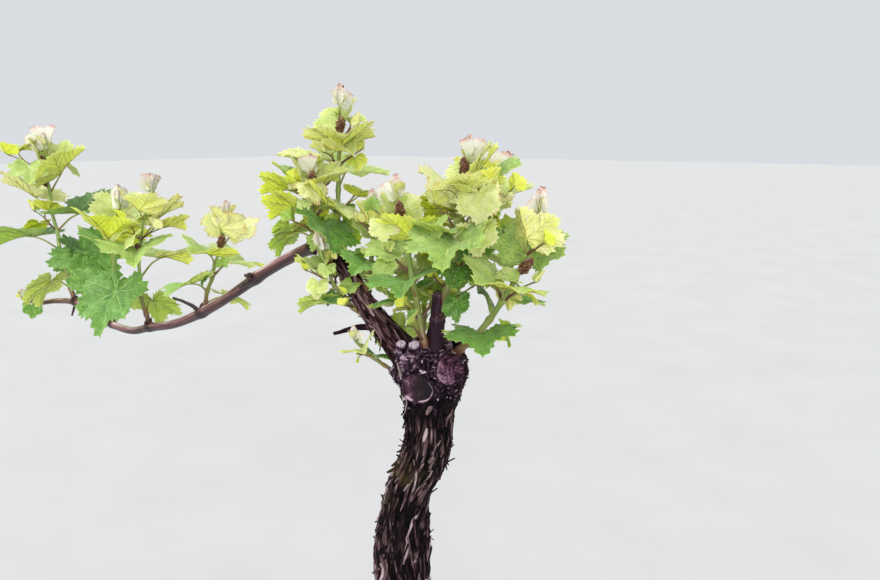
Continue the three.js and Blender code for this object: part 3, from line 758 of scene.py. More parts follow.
def trunk_piece():
    """The trunk's mesh with its bark, furrows and burr in relief, as the piece which replaces its solid"""
    mesh = trunk_blank()
    place = numbers_of(mesh.vertices, "co", width=3) / MM
    normal = numbers_of(mesh.vertices, "normal", width=3)
    z = place[:, 2]
    middle = Line(TRUNK)
    fine = np.linspace(0, 1, 300)
    axis = middle.at(fine)
    x, y = (place[:, k] - np.interp(z, axis[:, 2], axis[:, k]) for k in (0, 1))
    angle = np.arctan2(y, x)
    girth = np.interp(z, axis[:, 2], middle.radius(fine))
    strips = bark_relief(angle, z, girth, STRIP_WIDTH, STRIP_LENGTH, 0)
    bent = place + 3 * np.column_stack([noise_at(place / 7, k) for k in (7, 8, 9)])
    ridges = 0.7 - 2.2 * np.abs(noise_at(bent / (6.5, 6.5, 11), 5))
    grit = noise_at(bent / 2.6, 2)
    knobs = np.clip(0.6 * ridges + 0.75 * grit + 0.5 * noise_at(place / 13, 3), -1, 1)
    head = risen(z, HEAD_FOOT, HEAD_BLEND)
    relief = strips * (1 - head) + knobs * head
    moved = place + normal * ((TRUNK_RELIEF + HEAD_RELIEF * head) * relief)[:, None]
    for name, (foot, tip, radii, flat) in STUBS.items():
        moved, relief = dress_stub(moved, place, relief, foot, tip, radii, name == "left")
    bulge = 2.5 * noise_at(np.column_stack([place[:, :2] / 26, z / 60]), 4)
    moved += normal * bulge[:, None] * (1 - head)[:, None]
    mesh.vertices.foreach_set("co", (moved * MM).ravel().astype(np.float32))
    grain = np.column_stack([girth * np.cos(angle), girth * np.sin(angle), z * GRAIN_STRETCH])
    grain = grain * (1 - head)[:, None] + place * head[:, None] * 0.6
    dark = 0.1 * risen(z, 480, 60) * (1 - head)
    # Painted light and shade: the head is paler on its side that faces up, towards -X and the front, and
    # darker away from it
    head_lit = unit(place - BURR_CENTRE) @ unit(HEAD_LIT_WAY)
    # The tint follows the relief, darker in the cracks: partly the bark's own colour and partly painted shade
    tint = relief / 2 + 0.5 - dark + (0.2 * head_lit - 0.2) * head
    piece = finish_piece("trunk_bark", mesh, [OLD_BARK, HEAD_BARK], ["trunk"], 0, tint, grain)
    top = z + 22 * noise_at(place / 14, 6) > HEAD_COLOUR
    corners = numbers_of(mesh.loops, "vertex_index", int)
    starts = numbers_of(mesh.polygons, "loop_start", int)
    mesh.polygons.foreach_set("material_index", top[corners[starts]].astype(np.int32))
    cut_at_ground(mesh)
    return piece


def from_stub(points, foot, tip):
    """How far points lie past a stub's cut face and off its axis, and the way of the axis"""
    axis = unit(np.array(tip, float) - foot)
    along = (points - tip) @ axis
    return along, np.linalg.norm(points - tip - along[:, None] * axis, axis=1), axis


def dress_stub(moved, place, relief, foot, tip, radii, hollow):
    """Smooths the bark on a stub's cut face, or sinks the face where the stub is hollow"""
    along, off, axis = from_stub(place, foot, tip)
    off = off / radii[1]
    face = risen(along, -3, 2) * risen(1.06 - off, 0, 0.1)
    flat = place - axis * np.where(hollow & (off < 0.88), 8, 0.8)[:, None]
    moved = moved * (1 - face)[:, None] + flat * face[:, None]
    return moved, relief * (1 - face)


def on_a_cut(points, margin):
    """True if any of the points lies on the sawn face of a stub, or that near to it"""
    for foot, tip, radii, _ in STUBS.values():
        along, off, _ = from_stub(points, foot, tip)
        if ((along > -margin) & (off < radii[1] + margin)).any():
            return True
    return False


def cut_at_ground(mesh):
    """Cuts the trunk level at the ground and closes it"""
    work = bmesh.new()
    work.from_mesh(mesh)
    cut = bmesh.ops.bisect_plane(
        work, geom=work.verts[:] + work.edges[:] + work.faces[:],
        plane_co=(0, 0, 0), plane_no=(0, 0, -1), clear_outer=True,
    )
    bmesh.ops.edgeloop_fill(work, edges=[e for e in cut["geom_cut"] if isinstance(e, bmesh.types.BMEdge)])
    work.to_mesh(mesh)
    work.free()


def tree_of(piece):
    place = numbers_of(piece.data.vertices, "co", width=3) / MM
    faces = [tuple(p.vertices) for p in piece.data.polygons]
    return BVHTree.FromPolygons([tuple(p) for p in place], faces)


def add_strip(whole, points, normals, width, thickness, lift, twist, tint):
    """A loose strip of bark laid along points on a limb. Its ends stand off by lift."""
    count = len(points)
    u = np.linspace(0, 1, count)
    stand = 0.5 + lift[0] * np.clip(1 - u / 0.3, 0, 1) ** 2 + lift[1] * risen(u, 0.7, 0.3) ** 2
    along = unit(np.gradient(points, axis=0))
    side = unit(np.cross(along, normals))
    turn = np.radians(twist) * (u - 0.5)[:, None] * 2
    side = unit(side * np.cos(turn) + normals * np.sin(turn))
    up = np.cross(side, along)
    middle = points + normals * stand[:, None]
    half = width / 2 * (0.35 + 0.65 * np.sin(np.pi * np.clip(u, 0.04, 0.96)) ** 0.5)[:, None]
    curl = -0.16 * width * up
    thick = up * thickness / 2
    corners = ((-1, 1, 1), (0, 0, 1), (1, 1, 1), (1, 1, -1), (0, 0, -1), (-1, 1, -1))
    rings = np.stack([middle + a * side * half + b * curl + c * thick for a, b, c in corners], 1)
    made, faces = ring_tube(rings)
    reach = np.repeat(np.arange(count) * GRAIN_STRETCH * np.linalg.norm(points[1] - points[0]), 6)
    across = np.tile([a for a, _, _ in corners], count) * width / 2
    grain = np.column_stack([across + points[0, 0], np.full(count * 6, points[0, 2]), reach])
    whole.add(made, faces, 0, tint, np.vstack([grain, grain[:1], grain[-1:]]))


FAR_OUT, LONGEST_LEAP = 90, 16  # how far out the rays start, and the longest gap between two that meet bark


def hits(skin, starts, ways):
    """Where rays meet the trunk and the way out from there, or nothing if one misses it or leaps too far"""
    found = [skin.ray_cast(Vector(s), Vector(w)) for s, w in zip(starts, ways)]
    if any(f[0] is None for f in found):
        return None, None
    points = np.array([f[0] for f in found])
    if np.linalg.norm(np.diff(points, axis=0), axis=1).max() > LONGEST_LEAP:
        return None, None
    return points, unit(0.5 * unit(np.array([f[1] for f in found])) - 0.5 * ways)


SHORT_STRIPS = 0.7  # the share of the trunk's strips that is short
LOWEST_STRIP, HIGHEST_STRIP, STRIPS_END = 6, 752, 786


def add_trunk_strips(whole, skin, count, seed):
    """Shaggy strips of old bark, up the trunk and round the head"""
    draw = np.random.default_rng(seed)
    axis = Line(TRUNK).at(np.linspace(0, 1, 300))
    for _ in range(count):
        z0 = draw.uniform(LOWEST_STRIP, HIGHEST_STRIP)
        length = draw.uniform(10, 26) if draw.random() < SHORT_STRIPS else draw.uniform(26, 64)
        length = min(length, STRIPS_END - z0)
        angle = draw.uniform(0, 2 * np.pi)
        slope = draw.normal(0.004, 0.007)
        z = z0 + np.linspace(0, length, max(4, round(length / 7)))
        turned = angle + slope * (z - z0) + 0.07 * np.sin((z - z0) / draw.uniform(6, 16))
        centre = np.column_stack([np.interp(z, axis[:, 2], axis[:, k]) for k in range(3)])
        out = np.column_stack([np.cos(turned), np.sin(turned), 0 * z])
        points, normals = hits(skin, centre + out * FAR_OUT, -out)
        lift = draw.uniform(0, 1, 2) ** 3 * 6
        width = draw.uniform(1.4, 4.6)
        tint = draw.uniform(0, 1) ** 2.4 * 0.85
        if points is not None and not on_a_cut(points, 3):
            add_strip(whole, points, normals, width, draw.uniform(0.5, 1.1), lift, draw.normal(0, 45), tint)


def add_limb_strips(whole, line, start, end, count, seed):
    """Strips along a limb that is nearly round"""
    draw = np.random.default_rng(seed)
    for _ in range(count):
        middle = draw.uniform(start, end)
        reach = draw.uniform(0.015, 0.05)
        t = np.linspace(max(start, middle - reach), min(end, middle + reach), 6)
        angle = draw.uniform(0, 2 * np.pi) + draw.normal(0, 0.6) * np.linspace(0, 1, 6)
        across, other, _ = line.across(t)
        out = across * np.cos(angle)[:, None] + other * np.sin(angle)[:, None]
        points = line.at(t) + out * (line.radius(t) + 0.4)[:, None]
        lift = draw.uniform(0, 1, 2) ** 3 * 6
        tint = draw.uniform(0, 1) ** 1.6 * 0.9
        add_strip(whole, points, out, draw.uniform(1.2, 4), 0.7, lift, draw.normal(0, 40), tint)


# A pale splinter between the two big cuts: its way from the burr's middle, its lie, its length, width and
# thickness, and its tint
SPLINTER = (np.array((0.437, -0.865, 0.25)), (0.3, 0.3, 0.9), (8.5, 3.6, 1.6), 1)


def add_flakes(whole, skin, count, seed):
    """Chips and crumbs of bark on the head, a few of them pale"""
    draw = np.random.default_rng(seed)
    for k in range(count):
        out = unit((draw.normal(0, 1), draw.normal(0, 1), draw.normal(0, 0.7)))
        across = unit(draw.normal(0, 1, 3))
        size = draw.uniform(1.5, 7), draw.uniform(0.7, 2), draw.uniform(0.4, 0.9)
        tint = draw.uniform(0, 1) ** 2.4
        if k == 0:
            out, across, size, tint = SPLINTER
        length, width, thickness = size
        point, normal, _, _ = skin.ray_cast(Vector(np.array(BURR_CENTRE) + out * FAR_OUT), Vector(-out))
        if point is None or on_a_cut(np.array([point]), 1.5):
            continue
        normal = unit(np.array(normal))
        line = np.array(point) + unit(np.cross(normal, across)) * np.linspace(-0.5, 0.5, 3)[:, None] * length
        normals = np.repeat(normal[None], 3, 0)
        add_strip(whole, line, normals, width, thickness, draw.uniform(0, 1.2, 2), draw.normal(0, 50), tint)


FACE_SIDES, FACE_RINGS, FACE_CRACKS = 60, 12, 5


def cut_face(whole, foot, tip, radii, flat, kind, slot, seed):
    """The sawn face of a stub: sound and cracked, rotten and sunk behind a thin pale rim, or dry"""
    radius = radii[1]
    across, other, axis = (v[0] for v in Line(stub_rows(foot, tip, radii)).across(1))
    angle = np.arange(FACE_SIDES) * 2 * np.pi / FACE_SIDES
    reach = np.linspace(0.04, 1, FACE_RINGS)[:, None]
    uneven = 1 + 0.03 * np.sin(3 * angle + seed) + 0.015 * np.sin(7 * angle + 2 * seed)
    x = reach * radius * uneven * np.cos(angle)
    y = reach * radius * uneven * np.sin(angle) * flat
    places = np.column_stack([x.ravel(), y.ravel(), np.full(x.size, seed * 10.0)])
    grit = noise_at(places / 2).reshape(x.shape)
    broad = noise_at(places / 7, 3).reshape(x.shape)
    turn = (angle * FACE_CRACKS / (2 * np.pi) + 0.3 * seed) % 1
    cracks = hump(turn - 0.5, 0.035) * np.clip(1.2 - reach, 0, 1)
    edge = risen(reach, 0.9, 0.1)
    if kind == "rotten":
        right = np.clip(0.5 + x / radius, 0, 1)
        rim = hump(reach - 0.93, 0.06) * np.clip(0.3 + 0.8 * np.cos(angle - 0.9) + broad, 0, 1)
        hole = hump(x / radius - 0.3, 0.42) * hump(y, 0.42 * radius)
        height = -1.6 + 1.9 * edge + 1.1 * rim - 4 * hole + 0.6 * grit * (1 - hole)
        tint = 0.56 - 0.5 * right + 1.1 * rim + (0.3 * grit + 0.3 * broad) * (1 - right)
    elif kind == "sound":
        rim = hump(reach - 0.96, 0.05) * np.clip(0.1 - 0.8 * np.cos(angle), 0, 1)
        height = 0.3 + 0.35 * grit - 0.7 * cracks - 1.1 * edge
        tint = 0.44 + 0.5 * grit + 0.6 * broad - 0.4 * cracks + 0.5 * rim - 0.22 * x / radius
    else:
        height = 0.3 + 0.3 * grit - 0.5 * cracks - 0.8 * edge
        tint = 0.55 + 0.5 * grit - 0.5 * cracks - 0.3 * edge
    top = np.array(tip) + x[..., None] * across + y[..., None] * other + height[..., None] * axis
    low = np.stack([top[-1] - axis * 2.5, top[0] - axis * 2.5])
    points, faces = ring_tube(np.concatenate([top, low]))
    tint = np.clip(tint, 0, 1)
    shade = np.concatenate([tint.ravel(), np.full(2 * FACE_SIDES, 0.2), [tint[0].mean(), 0.2]])
    whole.add(points, faces, slot, shade)


# Leaves

# Every second tooth is smaller, and so are those by the petiole
TOOTH, SMALL_TOOTH, LAST_TEETH = 0.078, 0.058, 0.7
NOTCH, SIDE_BULGE = 0.35, 0.028


def blade_rim(half):
    """The toothed outline of a blade, from the petiole round the tip and back, and the tips of its lobes"""
    corners = [(angle, reach) for angle, reach, _ in half] + [LEAF_BASE]
    place = [reach * np.exp(1j * np.radians(angle)) for angle, reach in corners]
    rim = [place[0]]
    for i, (_, _, teeth) in enumerate(half):
        a, b = place[i], place[i + 1]
        out = -1j * (b - a) / abs(b - a)
        out = out if (out * np.conj(a + b)).real > 0 else -out
        for k in range(teeth):
            size = (SMALL_TOOTH if k % 2 else TOOTH) * (LAST_TEETH if i == len(half) - 1 else 1)
            if i % 2 == 0:
                steps = [((k + 0.5) / teeth, -NOTCH * size), ((k + 1) / teeth - 0.12 / teeth, size)]
                steps = steps if k < teeth - 1 else steps[:1]
            else:
                steps = [((k + 0.62) / teeth, size), ((k + 1) / teeth - 0.1 / teeth, -NOTCH * size)]
                steps = steps if k < teeth - 1 else []
            for share, stand in steps:
                bulge = SIDE_BULGE * math.sin(math.pi * share)
                rim.append(a + (b - a) * share + out * (stand + bulge))
        rim.append(b)
    rim = np.array(rim)
    lobes = [place[i] for i in range(0, len(half), 2)]
    return np.concatenate([rim[::-1], np.conj(rim[1:])]), lobes + [np.conj(p) for p in lobes[1:]]


def smooth_rim(rim, width=3):
    padded = np.concatenate([np.repeat(rim[:1], width), rim, np.repeat(rim[-1:], width)])
    return np.convolve(padded, np.ones(2 * width + 1) / (2 * width + 1), "valid")


# Half-widths of a vein at its two ends, over the midrib's length
MAIN_VEIN, SIDE_VEIN = (0.0115, 0.003), (0.0062, 0.002)


class Blade:
    """A toothed blade laid flat in the plane of complex numbers, its midrib along the real axis and one unit
    long. parts says where side veins leave the midrib, and others where they leave the other main veins."""

    def __init__(self, half, rings, parts, others, points):
        rim, self.lobes = blade_rim(half)
        soft = smooth_rim(rim)
        order = np.argsort(np.angle(soft))
        self.around, self.away = np.angle(soft)[order], np.abs(soft)[order]
        share = np.linspace(0, 1, rings + 1)[1:, None] ** 0.85
        weight = share**9
        self.grid = share * (soft * (1 - weight) + rim * weight)
        veins = self.make_veins(parts, others, points)
        small = self.distance_to(np.concatenate([path for path, _ in veins]))
        self.quilt = (1 - hump(small, 0.04)) * np.clip(1.15 - share, 0, 1) ** 0.5
        main = self.distance_to(np.concatenate([np.linspace(0, 1, 60) * lobe for lobe in self.lobes]))
        self.pleat = 1 - hump(main, 0.15)
        self.faces = self.make_faces(*self.grid.shape)
        self.veins = self.hold_veins(veins)

    def distance_to(self, samples):
        return np.abs(self.grid.ravel()[:, None] - samples[None, :]).min(1).reshape(self.grid.shape)

    @staticmethod
    def make_faces(rings, count):
        """The triangles of one side: a fan round the end of the petiole, then ring by ring"""
        j = np.arange(count - 1)
        fan = np.stack([0 * j, j + 1, j + 2], 1)
        return np.concatenate([fan, grid_faces(rings, count, closed=False)[:, ::-1] + 1])

    def hold_veins(self, veins):
        """The veins, each point by the triangle of the blade that holds it and its share of each corner"""
        flat = np.concatenate([[0j], self.grid.ravel()])
        a, b, c = (flat[self.faces[:, k]] for k in range(3))
        area = ((b - a) * np.conj(c - a)).imag
        held = []
        for path, widths in veins:
            p = path[:, None]
            shares = [((v - p) * np.conj(w - p)).imag / area for v, w in ((b, c), (c, a), (a, b))]
            weights = np.stack(shares, -1)
            best = weights.min(-1).argmax(1)
            held.append((widths, self.faces[best], weights[range(len(path)), best]))
        return held

    def make_veins(self, parts, others, points):
        """Paths with the half-widths of their two ends: one to each lobe, and side veins towards the teeth"""
        veins = []
        for lobe in self.lobes:
            veins.append((np.linspace(0, 0.96, points + 2) * lobe, MAIN_VEIN))
            for part in parts if lobe == self.lobes[0] else others:
                for hand in (1, -1):
                    path = self.side_vein(lobe, part + 0.03 * (hand > 0), hand)
                    if len(path) > 3:
                        wanted = np.linspace(0, len(path) - 1, points)
                        veins.append((np.interp(wanted, range(len(path)), path), SIDE_VEIN))
        return veins

    def side_vein(self, lobe, part, hand):
        """A path that leaves a main vein and bends towards the lobe's tip, to the margin or the next lobe"""
        path = [lobe * part]
        heading = lobe / abs(lobe) * np.exp(1j * hand * math.radians(50))
        for _ in range(26):
            heading *= np.exp(-1j * hand * math.radians(1.1))
            point = path[-1] + 0.024 * heading
            gaps = [abs(np.angle(point / other)) for other in self.lobes]
            past = abs(point) > 0.95 * np.interp(np.angle(point), self.around, self.away)
            if past or self.lobes[int(np.argmin(gaps))] != lobe:
                break
            path.append(point)
        return path


FIVE = Blade(FIVE_LOBES, 8, (0.2, 0.34, 0.48, 0.61, 0.73, 0.84), (0.26, 0.45, 0.63, 0.8), 4)
THREE = Blade(THREE_LOBES, 6, (0.24, 0.44, 0.62, 0.79), (0.34, 0.6), 3)
TWIG = Blade(TWIG_LOBES, 4, (0.4, 0.7), (), 3)
GREEN, LIGHT, YOUNG = range(3)
TONES = 3
YOUNG_RIM = 0.22  # how much rust a young leaf has on its teeth
# How high the blade bulges between its small veins, and between its main ones, over the midrib's length
QUILT, PLEAT = 0.036, 0.06


def blade_height(x, y, leaf):
    """How high the blade stands over its own plane, as in the part's source, with crinkles and ruffles"""
    out = np.hypot(x, y)
    around = np.arctan2(y, x)
    phase = leaf["phase"]
    wave = leaf["wave"] * np.sin(3 * around + phase) * out**2
    ruffle = 0.03 * np.sin(9 * around + 2 * phase) * out**4 + 0.016 * np.sin(17 * around + phase) * out**6
    crinkle = 0.022 * np.sin(6.5 * x + phase) * np.cos(7 * y + 2 * phase) * risen(out, 0, 0.3)
    form = leaf["fold"] * np.abs(y) - leaf["curl"] * x * np.abs(x) - leaf["drop"] * y**2
    return form + wave + ruffle + crinkle


def place_on(leaf, flat, height):
    """Points of a blade laid flat, carried to where the leaf is. height is over the midrib's length. A leaf
    that is still closed has its halves turned up by the angle of its key close."""
    closed = leaf.get("close", 0)
    x, y = flat.real[..., None], flat.imag[..., None] * leaf.get("narrow", 1)
    raised = height[..., None] + math.sin(closed) * np.abs(y)
    y = y * math.cos(closed)
    return leaf["at"] + leaf["size"] * (x * leaf["along"] + y * leaf["side"] + raised * leaf["normal"])


def add_leaf(blades, veins, leaf, tone):
    """A leaf and its veins. One that is felted shows only its main veins."""
    blade = TWIG if leaf["size"] < TWIG_BLADE else THREE if leaf["size"] < SMALL_BLADE else FIVE
    felted = leaf.get("felted")
    skew = 1 + 0.05 * math.sin(7 * leaf["phase"])
    grid = blade.grid.real * (2 - skew) + 1j * blade.grid.imag * skew
    rings, count = grid.shape
    height = blade_height(grid.real, grid.imag, leaf) + QUILT * blade.quilt + PLEAT * blade.pleat
    thickness = max(0.28, 0.005 * leaf["size"]) / leaf["size"]
    flat = np.concatenate([[0j], grid.ravel()])
    level = np.concatenate([[0.0], height.ravel()])
    top = place_on(leaf, flat, level + thickness / 2)
    low = place_on(leaf, flat, level - thickness / 2)
    steps = np.arange(rings)
    last = 1 + count * (rings - 1) + np.arange(1, count)
    edge = np.concatenate([[0], 1 + count * steps, last, (count * steps[1:])[::-1]])
    ahead, under = np.roll(edge, -1), len(flat)
    walls = [(edge, edge + under, ahead), (ahead, edge + under, ahead + under)]
    points = np.concatenate([top, low])
    faces = np.concatenate([blade.faces, blade.faces[:, ::-1] + under, *(np.stack(w, 1) for w in walls)])
    slots = np.where(np.arange(len(faces)) < len(blade.faces), tone, TONES + tone)
    local = np.column_stack([flat.real, flat.imag, level]) * leaf["size"] + (0, 0, 40 * leaf["phase"])
    tint = leaf_tint(leaf, np.abs(flat))
    if tone == YOUNG and not felted:
        tint[-count:] += YOUNG_RIM
    blades.add(points, outward(points, faces), slots, np.tile(tint, 2), np.tile(local, (2, 1)))
    for vein in blade.veins:
        if vein[0] is MAIN_VEIN or not felted:
            add_vein(veins, leaf["size"], top, low, vein, tone)


def leaf_tint(leaf, reach):
    """From 0 to 0.5 from deep green to light, and up to 1 where a leaf is tinted with rust round its middle.
    On a felted leaf, from the middle of the blade to its rim."""
    if leaf.get("felted"):
        return np.clip(reach, 0, 1)
    rust = 0.55 * hump(reach, 0.42) if leaf.get("rust") else 0
    return 0.4 * leaf["shade"] + 0.1 * reach + rust


def add_vein(veins, size, top, low, vein, tone):
    """A three-sided rib that shows as a fine line above the blade and as a raised rib below it"""
    widths, corners, weights = vein
    half = np.linspace(*widths, len(weights)) * size
    above = (top[corners] * weights[..., None]).sum(1)
    under = (low[corners] * weights[..., None]).sum(1)
    normal = unit(above - under)
    across = np.cross(normal, unit(np.gradient(above, axis=0))) * half[:, None]
    stand = normal * (0.05 + 0.35 * half)[:, None]
    below = under - normal * (1.3 * half)[:, None]
    points = np.stack([above + stand - across, above + stand + across, below], 1).reshape(-1, 3)
    side = np.tile(np.arange(3), 2 * (len(weights) - 1))
    veins.add(points, outward(points, grid_faces(len(weights), 3)), np.where(side == 0, tone, TONES + tone))


# Shoots

UP = np.array((0.0, 0, 1))
BROAD_SIDE = (0.2, 0.9, 0.3)


def level_way(heading):
    return np.array((math.cos(heading), math.sin(heading), 0))


def between(first, second, angle):
    """A direction turned by an angle from one to another across it"""
    return first * math.cos(angle) + second * math.sin(angle)


def spoke(way, angle):
    """The direction across way that lies at an angle round it"""
    first = unit(np.cross(way, BROAD_SIDE))
    return between(first, np.cross(way, first), angle)


def leaf_plan(node, reach, midrib, roll, length, **rest):
    """Where a blade lies, and the way of the petiole that carries it"""
    upright = np.cross(unit((midrib[1], -midrib[0], 0)), midrib)
    normal = between(upright, np.cross(midrib, upright), roll)
    knee = node + reach * KNEE * length
    at = knee + unit(reach + midrib) * (1 - KNEE) * length
    side = np.cross(normal, midrib)
    return {"at": at, "along": midrib, "normal": normal, "side": side, "node": node, "knee": knee, **rest}


class Bend:
    """The way of a stem from its foot to its tip, bowed in its middle"""

    def __init__(self, foot, bow, tip):
        self.foot, self.tip = np.array(foot, float), np.array(tip, float)
        self.middle = (self.foot + self.tip) / 2 + 2 * np.array(bow, float)

    def at(self, t):
        return (1 - t) ** 2 * self.foot + 2 * t * (1 - t) * self.middle + t * t * self.tip

    def rise(self, t):
        return unit(2 * (1 - t) * (self.middle - self.foot) + 2 * t * (self.tip - self.middle))


def shoot_plan(shoot):
    """Everything about one shoot by the rule of the part's source, with its draws in the same order"""
    following = numbers_from(shoot.seed)

    def spread(key):
        return (following() * 2 - 1) * SPREAD[key]

    bend = Bend(shoot.foot, shoot.bow, shoot.tip)
    plan = {"stem": [bend.foot], "leaves": [], "bunches": [], "nodes": []}
    for i in range(shoot.leaves):
        age = 1 - i / (shoot.leaves - 1)
        aged = {key: NEWEST[key] + (OLDEST[key] - NEWEST[key]) * age for key in NEWEST}
        out = level_way(math.radians(shoot.side + 180 * (i % 2) + spread("heading")))
        t = (i + FIRST_NODE) / (shoot.leaves + LAST_NODE)
        rise = bend.rise(t)
        node = bend.at(t) + out * NODE_STANDS_OUT
        angle = math.radians(aged["reach"] + spread("reach"))
        lift = math.radians(aged["lift"] + shoot.opening + spread("lift"))
        size = shoot.blade * math.sin(math.pi * (0.87 - 0.6 * age)) ** 0.9 * (1 + spread("size"))
        leaf = leaf_plan(
            node,
            unit(between(out, rise, angle)),
            between(out, UP, lift),
            math.radians(spread("roll")),
            size * aged["petiole"],
            size=size, stalk=STALK_LEAST + size * STALK_SHARE, fold=aged["fold"], curl=aged["curl"],
            drop=aged["drop"], wave=BLADE_WAVE, phase=following() * FULL_TURN, age=age,
        )
        plan["nodes"].append((node, out, rise, age))
        if i not in shoot.bare:
            plan["leaves"].append(leaf)
        if i in shoot.buds:
            length = BUNCH_LENGTH + BUNCH_SPREAD * following()
            plan["bunches"].append((node, unit(rise - BUNCH_LEAN * out), length))
        plan["stem"].append(node)
    plan["stem"].append(bend.tip)
    return plan


GREENEST = ("shoot_cane_3", "shoot_cane_4")
RUSTY = ("shoot_head_1", "shoot_arm_2", "shoot_back_2")


def tone_of(name, age, chance):
    """Which of the three tones a leaf has: the oldest are the greenest, and those near the tip are pale"""
    if age < 0.25 + 0.2 * chance:
        return YOUNG
    return GREEN if age * (0.75 + 0.5 * chance) > (0.45 if name in GREENEST else 0.68) else LIGHT


def add_stem(stems, plan, girth, top, sides=12, step=2.2):
    """The stem with a swelling at each node, brown at its foot"""
    last = len(plan["stem"]) - 1
    rows = [(*p, girth * (1 + (STEM_TAPER - 1) * i / last)) for i, p in enumerate(plan["stem"])]
    rows.append((*(plan["stem"][-1] + UP * top), 0.5))
    nodes = np.array(plan["stem"][1:-1])

    def jointed(angle, centre, along, radius):
        near = hump(np.linalg.norm(centre[..., None, :] - nodes, axis=-1), 3.2).max(-1)
        ribs = 0.035 * np.sin(5 * angle + along / 60)
        return radius * (1 + 0.34 * near + ribs + 0.5 * hump(along, 8))

    stems.add_tube(rows, step, sides, jointed, tint=lambda length: risen(length, 0, 90))


def add_petiole(stems, leaf, sides=7, step=2.8):
    node, knee, at, stalk = (leaf[key] for key in ("node", "knee", "at", "stalk"))
    rows = [
        (*node, stalk * 1.5), (*(node + unit(knee - node) * 2.5), stalk * 1.15), (*knee, stalk * 0.95),
        (*at, stalk * 0.8), (*(at + leaf["along"] * 2 - leaf["normal"] * 0.4), stalk * 0.45),
    ]
    stems.add_tube(rows, step, sides, slot=1, tint=lambda length: length / length[-1])


def add_ball(whole, centre, radius, stretch, amount):
    """A small bud, drawn out along stretch"""
    way = unit(stretch)
    first = unit(np.cross(way, (0.31, 0.77, 0.55)))
    second = np.cross(way, first)
    angle = np.arange(5) * 2 * np.pi / 5
    ring = np.cos(angle)[:, None] * first + np.sin(angle)[:, None] * second
    rings = [
        centre + way * radius * amount * latitude + radius * math.sqrt(1 - latitude**2) * ring
        for latitude in (-0.75, -0.15, 0.45, 0.88)
    ]
    whole.add(*ring_tube(np.array(rings)))


FLOWER_BUDS = 84


def add_bunch(buds, stems, node, direction, length, seed):
    """A bunch of closed flower buds, close together round a short stalk"""
    draw = np.random.default_rng(seed)
    stalk = ((0, 1.3), (0.5, 1.1), (0.96, 0.6))
    rows = [(*(node + direction * share * length), radius) for share, radius in stalk]
    stems.add_tube(rows, 2.5, 7, slot=1, tint=0.2)
    for k in range(FLOWER_BUDS):
        share = 0.4 + 0.6 * (k / (FLOWER_BUDS - 1))
        wide = 5 * math.sin(math.pi * min(1, (share - 0.3) / 0.72)) ** 0.6 * draw.uniform(0.4, 1)
        out = spoke(direction, k * 2.399)
        centre = node + direction * length * share + out * wide
        add_ball(buds, centre, draw.uniform(0.9, 1.4), direction + 0.8 * out, 1.3)


# The leaves of a closed tip: each one's length over the largest blade's, and its lean from the upright
TIP_LEAVES = ((0.42, 64), (0.4, 24), (0.42, 13), (0.38, 6), (0.33, 17), (0.28, 4), (0.22, 28))
LARGEST_TIP = 40


def add_tip(blades, veins, felts, stems, shoot, tip):
    """The closed tip of a shoot: small folded leaves pressed round its end, felted but for the first"""
    draw = np.random.default_rng(shoot.seed)
    blade = min(shoot.blade, LARGEST_TIP)
    for k, (share, lean) in enumerate(TIP_LEAVES):
        out = level_way(math.radians(shoot.side + 144 * k + 12 * draw.normal()))
        lean = math.radians(lean)
        size = share * blade
        leaf = leaf_plan(
            tip + UP * (0.035 * k + 0.02) * blade + out * 0.5,
            unit(0.6 * out + UP),
            between(UP, out, lean),
            draw.normal(0, 0.2),
            0.14 * size,
            size=size, stalk=0.5, fold=0.1, curl=-0.26, drop=-0.1, wave=0.06, phase=6 * draw.random(),
            shade=0.8, close=math.radians(48 + 5 * k), felted=k > 0, narrow=0.5 if k else 0.85,
        )
        add_leaf(felts if k else blades, veins, leaf, YOUNG)
        add_petiole(stems, leaf)


# Side twigs for each node of a shoot, in twos: the chance of each
TWIG_CHANCE = {"cane": 0.22, "arm": 0.84, "head": 0.66, "back": 0.6}
BLADE_CORNERS = np.array([0, 1, 0.7 + 0.7j, 0.7 - 0.7j, -0.3 + 0.6j, -0.3 - 0.6j])[:, None]
BARE_ROUND_HEAD = 66  # no side twig's leaf comes this near to the middle of the burr
PAST_BOX, OFF_WOOD = 3, 2  # how far its corners may pass its shoot's box, and how far they keep off the wood
OLD_TWIG = 0.55  # a twig on an older node than this has the greenest leaves
UPPER_TRUNK = 10  # the first row of the trunk that twigs come near to


def twigs_of(shoot, plan, chance):
    """Side twigs in the corners of a shoot's leaves, as finer shoots, each with the age of its node"""
    draw = np.random.default_rng(shoot.seed + 900)
    for k, (node, out, rise, age) in enumerate(plan["nodes"][:-1]):
        for hand in (1, -1):
            heading = math.atan2(out[1], out[0]) + math.radians(hand * draw.uniform(30, 115))
            length = shoot.blade * draw.uniform(0.35, 0.8)
            tip = node + (level_way(heading) * draw.uniform(0.7, 1) + rise * draw.uniform(0.4, 1)) * length
            leaves = 2 + int(draw.random() < 0.65)
            blade = shoot.blade * draw.uniform(0.42, 0.66)
            opening = draw.uniform(-5, 25)
            if draw.random() > chance:
                continue
            seed = shoot.seed + 1000 * (k + 1) + 500 * (hand > 0)
            bow, side = (0, 0, 0.04 * length), math.degrees(heading) + 70 * hand
            yield Shoot(node, bow, tip, 0.36 * shoot.girth, leaves, side, blade, opening, (), (), seed), age


def wood_points():
    """Places along the limbs and their radii, to keep the twigs' leaves off them"""
    lines = [Line(rows) for rows in (OLD_LINE, TRUNK[UPPER_TRUNK:], *SPURS.values())]
    t = np.linspace(0, 1, 160)
    return np.concatenate([line.at(t) for line in lines]), np.concatenate([line.radius(t) for line in lines])


WOOD_PLACES, WOOD_RADII = wood_points()


